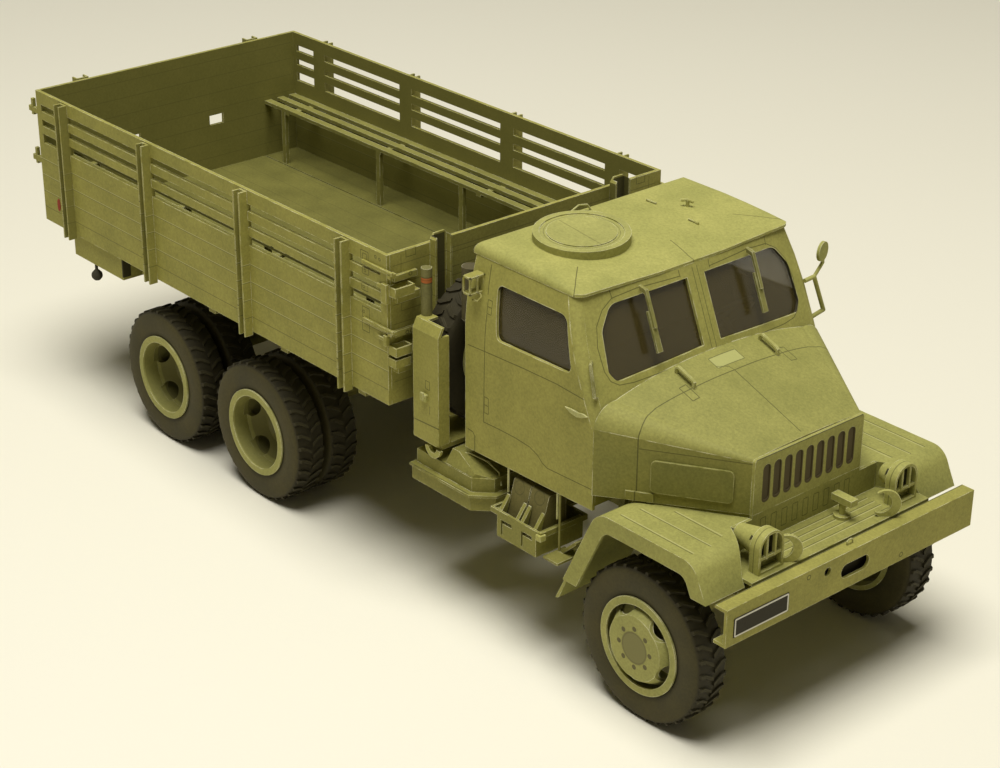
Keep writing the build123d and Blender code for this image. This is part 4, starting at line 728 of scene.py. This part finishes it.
# the bed floor in much darker inks: painted shade inside the bed
dress(card("floor_card", (0.180, 0.168, 0.038), (0.135, 0.127, 0.028), wear=0.25, marks=floor_planks, strength=0.45),
      "bed_floor")
dress(card("bench_card", (0.265, 0.248, 0.064), (0.205, 0.193, 0.049)), "bench_left", "bench_right")


def block(name, low, high, soften=0.06):
    """A small block of folded card between two corners."""
    (x0, y0, z0), (x1, y1, z1) = low, high
    return slab(name, [(x0, y0, z0), (x1, y0, z0), (x1, y1, z0), (x0, y1, z0)], (0, 0, z1 - z0), soften)


def pick_faces(piece, wanted):
    """Opens a piece for editing with just the wanted faces selected."""
    work_on(piece)
    mode("EDIT")
    bpy.ops.mesh.select_mode(type="FACE")
    bpy.ops.mesh.select_all(action="DESELECT")
    mode("OBJECT")
    for side in piece.data.polygons:
        side.select = wanted(side)
    mode("EDIT")


def tray(name, low, high, wall=0.4):
    """An open tray: a floor and four walls."""
    piece = block(name, low, high, 0)
    pick_faces(piece, lambda side: side.normal.z > 0.9)
    bpy.ops.mesh.inset(thickness=wall * MM)
    push(0, 0, low[2] + wall - high[2])
    mode("OBJECT")
    return piece


corner_bits = [
    tray("tray_high", (27.8, -45.6, 79.6), (31.0, -39.6, 82.0)),
    tray("tray_mid", (27.8, -45.6, 64.1), (31.0, -40.6, 66.4)),
    tray("tray_low", (27.8, -45.6, 61.0), (30.8, -40.9, 63.2)),
    block("strap_high", (18.8, -46.3, 85.3), (30.4, -45.6, 86.2)),
    block("strap_low", (18.8, -46.3, 70.1), (30.4, -45.6, 71.0)),
    block("strap_high_end", (28.6, -46.3, 84.4), (29.9, -44.4, 85.6)),
    block("strap_low_end", (28.6, -46.3, 69.4), (29.9, -44.4, 70.4)),
    block("hook_high", (26.6, -46.6, 77.6), (28.6, -45.5, 82.6)),
    block("hook_high_tip", (25.0, -46.6, 81.2), (26.7, -46.1, 82.2)),
    block("hook_low", (27.2, -46.6, 66.4), (28.4, -45.5, 69.2)),
    block("hook_low_tip", (24.6, -46.5, 67.6), (27.3, -46.0, 68.4)),
]
plain_side_card = card("plain_side_card", shaded_side_light, shaded_side_dark, wear=1.0)
both_sides("corner_fittings", corner_bits, plain_side_card)

red_card = card("reflector_red", (0.34, 0.045, 0.022), (0.26, 0.032, 0.016), (0.45, 0.15, 0.09), 0.5)
lens_outline = [(-126.2 + 0.75 * math.cos(math.radians(a)), -45.6, 57.0 + 1.9 * math.sin(math.radians(a)))
                for a in range(0, 360, 30)]
lens_near = slab("reflector", lens_outline, (0, -0.35, 0), 0.05)
finished(pair("reflectors", lens_near), red_card)


# ---- between cab and bed ------------------------------------------------------------------------
# Spare wheel under its folded cover, a banded tube, the air stack, battery box, rack and cans.
# They are small boxes and tubes of olive and grey card, glued to the frame and the bed's front board.
# Wires, shackle, catches and the lamp bracket are fixed on afterwards.
carrier_marks = [("line", (33.0, -42.0, 47.6), (42.6, -42.0, 48.1), 0.12),
                 ("box", (38.4, -42.0, 58.4), (0.8, 0.5, 1.1), 0.25, 0.07),
                 ("line", (39.2, -42.0, 52.9), (39.1, -42.0, 50.9), 0.07)]
dress(card("carrier_card", shaded_side_light, shaded_side_dark, marks=carrier_marks), "spare_carrier")
orange_ink = (0.42, 0.125, 0.028)
bands = [(("box", (33.7, -38.2, z), (4, 4, tall), 0, 0.05), ink, amount) for z, tall, ink, amount in
         ((83.7, 0.85, line_ink, 0.7), (83.7, 0.6, orange_ink, 1.0), (83.8, 0.06, line_ink, 0.5))]
dress(card("tube_card", (0.215, 0.200, 0.068), (0.160, 0.150, 0.050), over=bands), "banded_tube")
grey_card = card("grey_card", (0.100, 0.084, 0.036), (0.052, 0.044, 0.019), (0.5, 0.47, 0.33), 1.0, 0.0003)
dress(grey_card, "intake_stack")

battery_marks = route([(31.7, -40.9, 38.7), (52.4, -40.4, 38.7), (56.1, -36.6, 38.7)]) + [
    ("line", (52.5, -40.4, 30.5), (52.5, -40.4, 42.0), 0.07), ("line", (31.6, -42.5, 35.0), (53.6, -42.0, 35.0), 0.1)]
dress(card("battery_card", (0.270, 0.252, 0.060), (0.210, 0.198, 0.046), marks=battery_marks), "battery_box")
can_marks = [("ring", (67.3, -37.7, 40.9), 1.7, 0.1), ("ring", (74.4, -37.6, 41.0), 1.7, 0.1)]
dress(card("can_card", (0.150, 0.130, 0.038), (0.110, 0.096, 0.028), marks=can_marks, strength=0.45), "cans")
rack_card = card("rack_card", (0.262, 0.246, 0.058), (0.205, 0.193, 0.045))
dress(rack_card, "can_rack")

catch = joined("cover_catch", [block("catch_body", (36.4, -42.9, 54.0), (38.6, -41.9, 56.0), 0.15),
        block("catch_lip", (37.0, -43.3, 54.6), (38.0, -42.8, 56.6), 0.1)])
finished(catch, olive_card)


def crescent(name, centre, outer, inner, start, end, y, thick, steps=14):
    """A flat crescent cut from card, upright and facing sideways."""
    cx, cz = centre
    arc = [math.radians(start + (end - start) * i / steps) for i in range(steps + 1)]
    points = [(cx + outer * math.cos(a), y, cz + outer * math.sin(a)) for a in arc]
    points += [(cx + inner * math.cos(a), y, cz + inner * math.sin(a)) for a in reversed(arc)]
    return slab(name, points, (0, thick, 0))


finished(crescent("carrier_shackle", (39.6, 42.0), 2.9, 1.5, 185, 355, -41.6, 0.9), olive_card)
wires = [wire("battery_wire", [(44.0, -38.6, 41.6), (48.4, -36.7, 42.1), (52.6, -34.9, 40.9), (56.4, -34.6, 39.4),
        (57.5, -34.8, 36.4)], 0.22)]
wires += [wire("hanger_%d" % i, [(x, -37.0, 44.4), (x, -37.0, 37.6)], 0.3) for i, x in enumerate((62.6, 79.9))]
finished(joined("thin_wires", wires), handle_card)
finished(block("rack_catch", (78.4, -42.5, 33.2), (80.2, -40.6, 34.8), 0.15), olive_card)

# open bracket on the cab's rear corner, with a bent wire under it; the same on the other side
bracket_low, bracket_high = Vector((49.4, -40.3, 85.8)), Vector((52.2, -35.6, 90.4))
bracket_bar = 0.5
bracket_bits = [block("bracket_rim_%d" % i, (bracket_low.x, bracket_low.y, z),
        (bracket_high.x, bracket_high.y, z + bracket_bar), 0.08)
                for i, z in enumerate((bracket_low.z, bracket_high.z - bracket_bar))]
bracket_bits += [block("bracket_post_%d" % i, (x, y, bracket_low.z),
        (x + bracket_bar, y + bracket_bar, bracket_high.z), 0.08)
                 for i, (x, y) in enumerate(((49.4, -40.3), (51.7, -40.3), (51.7, -38.1), (51.7, -36.1)))]
bracket_bits.append(wire("bracket_wire", [(51.8, -37.0, 86.0), (52.6, -37.2, 85.0), (52.4, -38.2, 84.2),
        (51.4, -39.0, 84.4)], 0.25))
both_sides("lamp_bracket", bracket_bits, plain_side_card)


# ---- wheels -------------------------------------------------------------------------------------
# Tyres are built up from layers of grey card, with slanted lugs glued round both shoulders.
# The rims are olive card rings with a dished disc, printed with its nuts.
dots, taken, given = effect("ring_of_dots", {"Place": "Vector", "Centre": "Vector", "Count": "Float",
        "Reach": "Float", "Radius": "Float", "Turn": "Float"}, {"Mask": "Float"})
split = add(dots, "SeparateXYZ", in_0=vectors(dots, "SUBTRACT", taken["Place"], taken["Centre"])).outputs
swung = maths(dots, "SUBTRACT", maths(dots, "ARCTAN2", split[2], split[0]), taken["Turn"])
step = maths(dots, "DIVIDE", math.tau, taken["Count"])
turns = maths(dots, "DIVIDE", swung, step)
angle = maths(dots, "MULTIPLY", maths(dots, "SUBTRACT", turns, maths(dots, "ROUND", turns)), step)
spoke = vectors(dots, "LENGTH", add(dots, "CombineXYZ", in_0=split[0], in_1=0.0, in_2=split[2]).outputs[0])
along = maths(dots, "SUBTRACT", maths(dots, "MULTIPLY", spoke, maths(dots, "COSINE", angle)), taken["Reach"])
aside = maths(dots, "MULTIPLY", spoke, maths(dots, "SINE", angle))
off = vectors(dots, "LENGTH", add(dots, "CombineXYZ", in_0=along, in_1=aside, in_2=0.0).outputs[0])
dots.links.new(faded(dots, off, taken["Radius"], 1.12), given["Mask"])

wheel_z = 19.5
front_x = 111.7
rear_x_1 = -31.5
rear_x_2 = -76.3
front_y = 36.1
outer_y = 40.4
inner_y = 29.4
hand_holes = 5
rim_light = (0.385, 0.365, 0.115)
rim_dark = (0.30, 0.295, 0.088)
nut_and_shadow_ink = (0.085, 0.068, 0.035)
deep_ink = (0.10, 0.09, 0.026)
# inked dots, printed nuts and painted hub shadow: how many, how far from the axis, their radius, their turn, ink and
# amount
# front hub: a dark ring as painted shadow round the recessed cap, the cap in its own darker ink, and eight nuts
front_dots = ((1, 0.0, 3.8, 0, nut_and_shadow_ink, 0.8), (1, 0.0, 3.5, 0, (0.215, 0.20, 0.075), 1.0),
              (8, 4.95, 0.6, 2, nut_and_shadow_ink, 0.85))
# rear hub: a dark disc as painted shade in the hole at its middle
rear_hub_shade = ((1, 0.0, 2.6, 0, (0.05, 0.045, 0.018), 0.4),)
# shade inside the rims: ink, amount, and the band of distances from the truck's middle that it covers
front_depths = ((deep_ink, 0.7, 35.0, 39.9),)
rear_depths = (((0.17, 0.158, 0.04), 0.65, 30.0, 44.6), (deep_ink, 0.7, 30.0, 39.8))


def rim_card(name, centre, dots_printed, depths):
    """Rim card, darker where it lies deep, with its printed nuts and painted shadow at the hub."""
    x, y, z = centre
    side = math.copysign(1, y)
    shades = [(("box", (x, side * (near + far) / 2, z), (12.0, (far - near) / 2, 12.0), 0, 0.3), ink, amount)
              for ink, amount, near, far in depths]

    def dotted(tree, colour):
        for count, reach, radius, turn, ink, amount in dots_printed:
            mask = add(tree, "Group", node_tree=dots, in_0=add(tree, "TexCoord").outputs["Object"],
                       in_1=Vector(centre) * MM, in_2=float(count), in_3=reach * MM, in_4=radius * MM,
                       in_5=math.radians(turn))
            colour = inked(tree, colour, mask.outputs["Mask"], ink, amount)
        return colour

    return card(name, rim_light, rim_dark, wear=1.0, edge=0.0003, over=shades, last=dotted)


dress(card("spare_rim_card", rim_light, rim_dark, wear=0.9), "spare_rim")

tyre_light = (0.066, 0.055, 0.018)
tyre_dark = (0.044, 0.038, 0.013)
# ink by the distance from the axle: the bead darker, painted shade in the grooves, and the lugs' crests a little
# paler
tyre_bands = ((13.6, 12.2, (0.028, 0.024, 0.012), 0.6), (18.3, 18.8, (0.018, 0.015, 0.007), 0.75),
              (19.15, 19.4, (0.046, 0.040, 0.017), 0.7))


def banded(tree, colour):
    """Inks a tyre by the distance from its axle."""
    reach = add(tree, "Attribute", attribute_type="GEOMETRY", attribute_name="reach").outputs["Fac"]
    for low, high, ink, amount in tyre_bands:
        colour = inked(tree, colour, ramp(tree, reach, low * MM, high * MM), ink, amount)
    return colour


# the stroke is the glued seam of the front tyre's wall
tyre_card = card("tyre_card", tyre_light, tyre_dark, (0.17, 0.155, 0.09), 0.5, last=banded,
                 marks=route([(113.4, 9.8), (113.0, 4.5)], 0.1, "side"))


def turned(name, points, centre, axis, steps):
    """A ring turned from the drawn section about an axis."""
    piece = drawn(name, points)
    bpy.ops.mesh.select_all(action="SELECT")
    bpy.ops.mesh.spin(steps=steps, angle=math.tau, center=Vector(centre) * MM, axis=axis)
    bpy.ops.mesh.select_all(action="SELECT")
    bpy.ops.mesh.remove_doubles(threshold=0.002 * MM)
    pick_faces(piece, lambda side: len(side.vertices) > 4)
    bpy.ops.mesh.delete(type="FACE")
    close_up()
    bpy.ops.mesh.select_mode(type="VERT")
    mode("OBJECT")
    return piece


tread_radius = 18.95
lug_tip = 19.5
lug_pairs = 34
section = [(-4.1, 12.0), (-4.35, 12.6), (-4.62, 14.2), (-4.7, 15.8), (-4.55, 17.4), (-4.35, 18.3), (-3.95, 18.85),
           (-3.3, tread_radius), (3.3, tread_radius), (3.95, 18.85), (4.35, 18.3), (4.55, 17.4), (4.7, 15.8),
           (4.62, 14.2), (4.35, 12.6), (4.1, 12.0)]
carcass = turned("tyre_blank", [(0, y, r) for y, r in section], (0, 0, 0), (0, 1, 0), 80)

# one lug: a slanted block from the shoulder to the middle of the tread
lug = drawn("lug_blank", [(-0.5, -4.1, 18.4), (0.5, -4.1, 18.4), (0.5, -4.05, 18.95), (0.42, -3.75, lug_tip),
                          (-0.42, -3.75, lug_tip), (-0.5, -4.05, 18.95)])
push(0.1, 1.3, 0)
push(1.5, 2.3, 0)
close_up()
mode("OBJECT")
lugs = []
for i in range(lug_pairs):
    spin = Matrix.Rotation(math.tau * i / lug_pairs, 4, "Y")
    lugs.append(copied(lug, "lug_%d" % i, spin))
    half_step = Matrix.Rotation(math.tau * (i + 0.5) / lug_pairs, 4, "Y")
    lugs.append(copied(lug, "lug_far_%d" % i, half_step @ Matrix.Diagonal((1, -1, 1, 1))))
bpy.data.objects.remove(lug)
tyre_blank = joined("tyre_blank", [carcass] + lugs)
tyre_reach = tyre_blank.data.attributes.new("reach", "FLOAT", "POINT")
for point, value in zip(tyre_blank.data.vertices, tyre_reach.data):
    value.value = math.hypot(point.co.x, point.co.z)

# rims: a flanged barrel and a dished disc turned in one, with five hand holes cut through the cone
front_section = [(4.85, 10.3), (4.85, 12.15), (4.4, 12.15), (4.4, 11.75), (-4.2, 11.75), (-4.2, 12.2), (-4.7, 12.2),
                 (-4.7, 11.0), (0.4, 11.0), (5.1, 7.7), (5.1, 3.2), (1.7, 3.2), (1.7, 1.05), (5.4, 1.05), (5.4, 0.0),
                 (5.9, 0.0), (5.9, 8.1), (1.6, 10.7), (1.6, 11.0), (4.4, 11.0), (4.4, 10.3)]
rear_section = [(4.85, 10.3), (4.85, 12.15), (4.4, 12.15), (4.4, 11.75), (-4.2, 11.75), (-4.2, 12.2), (-4.7, 12.2),
                (-4.7, 11.75), (-6.3, 11.75), (-6.3, 12.2), (-6.8, 12.2), (-6.8, 11.75), (-15.2, 11.75),
                (-15.2, 12.2), (-15.7, 12.2), (-15.7, 11.0), (-0.9, 11.0), (-4.1, 6.9), (-4.1, 3.2), (-4.7, 3.2),
                (-4.7, 1.05), (-1.45, 1.05), (-1.45, 0.0), (-1.1, 0.0), (-1.1, 2.2), (-3.3, 2.5), (-3.3, 6.3),
                (0.2, 10.3)]


def rim_blank(name, section, turn, reach, narrow, wide, low, high):
    """A turned rim with five oval hand holes. Its outer face looks to the right of the truck."""
    blank = turned(name, [(0, -out, r) for out, r in section], (0, 0, 0), (0, 1, 0), 64)
    for hole in range(hand_holes):
        begin()
        bpy.ops.mesh.primitive_cylinder_add(vertices=24, radius=wide * MM, depth=(high - low) * MM,
                rotation=(math.pi / 2, 0, 0), location=Vector((reach, -(low + high) / 2, 0)) * MM)
        cutter = bpy.context.object
        bpy.context.view_layer.update()
        spin = Matrix.Rotation(-math.radians(turn + 360 / hand_holes * hole), 4, "Y")
        cutter.matrix_world = spin @ cutter.matrix_world @ Matrix.Diagonal((narrow / wide, 1, 1, 1))
        work_on(blank)
        cut = blank.modifiers.new("hole", "BOOLEAN")
        cut.operation = "DIFFERENCE"
        cut.solver = "EXACT"
        cut.object = cutter
        bpy.ops.object.modifier_apply(modifier="hole")
        bpy.data.objects.remove(cutter)
    return blank


front_blank = rim_blank("front_rim_blank", front_section, 48, 9.1, 1.2, 2.9, -1.0, 7.0)
rear_blank = rim_blank("rear_rim_blank", rear_section, 20, 9.2, 1.75, 3.0, -6.0, 1.2)
for side, sign in (("left", 1), ("right", -1)):
    flip = Matrix.Diagonal((1, -sign, 1, 1))
    at = Matrix.Translation(Vector((front_x, sign * front_y, wheel_z)) * MM)
    rim = copied(front_blank, "front_rim_disc_" + side, at @ flip)
    made = rim_card("front_rim_card_" + side, (front_x, sign * 42.0, wheel_z), front_dots, front_depths)
    finished(rim, made, "front_wheel_" + side)
    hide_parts("front_rim_" + side)
    for axle, x in ((1, rear_x_1), (2, rear_x_2)):
        at = Matrix.Translation(Vector((x, sign * outer_y, wheel_z)) * MM)
        end = "_%d_%s" % (axle, side)
        rim = copied(rear_blank, "rear_rim_discs" + end, at @ flip)
        made = rim_card("rear_rim_card" + end, (x, sign * 40.0, wheel_z), rear_hub_shade, rear_depths)
        finished(rim, made, "rear_wheels" + end)
        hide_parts("rear_rims" + end)
bpy.data.objects.remove(front_blank)
bpy.data.objects.remove(rear_blank)

tyre_places = []
for side, sign in (("left", 1), ("right", -1)):
    tyre_places.append(("front_tread_" + side, front_x, sign * front_y, "front_wheel_" + side, "front_tyre_" + side))
    for axle, x in ((1, rear_x_1), (2, rear_x_2)):
        end = "_%d_%s" % (axle, side)
        for row, y in (("outer", outer_y), ("inner", inner_y)):
            tyre_places.append((row + "_tread" + end, x, sign * y, "rear_wheels" + end, "rear_tyres" + end))
for i, (name, x, y, body, node) in enumerate(tyre_places):
    turn = Matrix.Rotation(math.radians(7 * i), 4, "Y")
    mirror = Matrix.Diagonal((1, 1 if y < 0 else -1, 1, 1))
    tyre = copied(tyre_blank, name, Matrix.Translation(Vector((x, y, wheel_z)) * MM) @ mirror @ turn)
    finished(tyre, tyre_card, body)
    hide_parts(node)
spare_turn = Matrix.Rotation(math.radians(90), 4, "Z") @ Matrix.Rotation(math.radians(4), 4, "Y")
spare = copied(tyre_blank, "spare_tread", Matrix.Translation(Vector((36.3, -20.4, 62.5)) * MM) @ spare_turn)
# the spare in still darker inks: painted shade under its cover
shaded_spare_tyre_card = card("shaded_spare_tyre_card", (0.040, 0.034, 0.015), (0.024, 0.020, 0.009), (0.12, 0.105, 0.055), 0.6)
finished(spare, shaded_spare_tyre_card, "truck")
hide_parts("spare_tyre")
bpy.data.objects.remove(tyre_blank)

# tow ball on a rod under the bed's rear corners
ball = turned("tow_ball", [(0.0, 0.0, 37.7), (0.9, 0.0, 38.0), (1.5, 0.0, 38.7), (1.65, 0.0, 39.4), (1.5, 0.0, 40.1),
        (0.9, 0.0, 40.8), (0.45, 0.0, 41.2), (0.45, 0.0, 43.6), (0.0, 0.0, 43.6)], (0, 0, 0), (0, 0, 1), 20)
ball.data.transform(Matrix.Translation(Vector((-110.9, -43.9, 0)) * MM))
finished(pair("tow_balls", ball), dark_card)
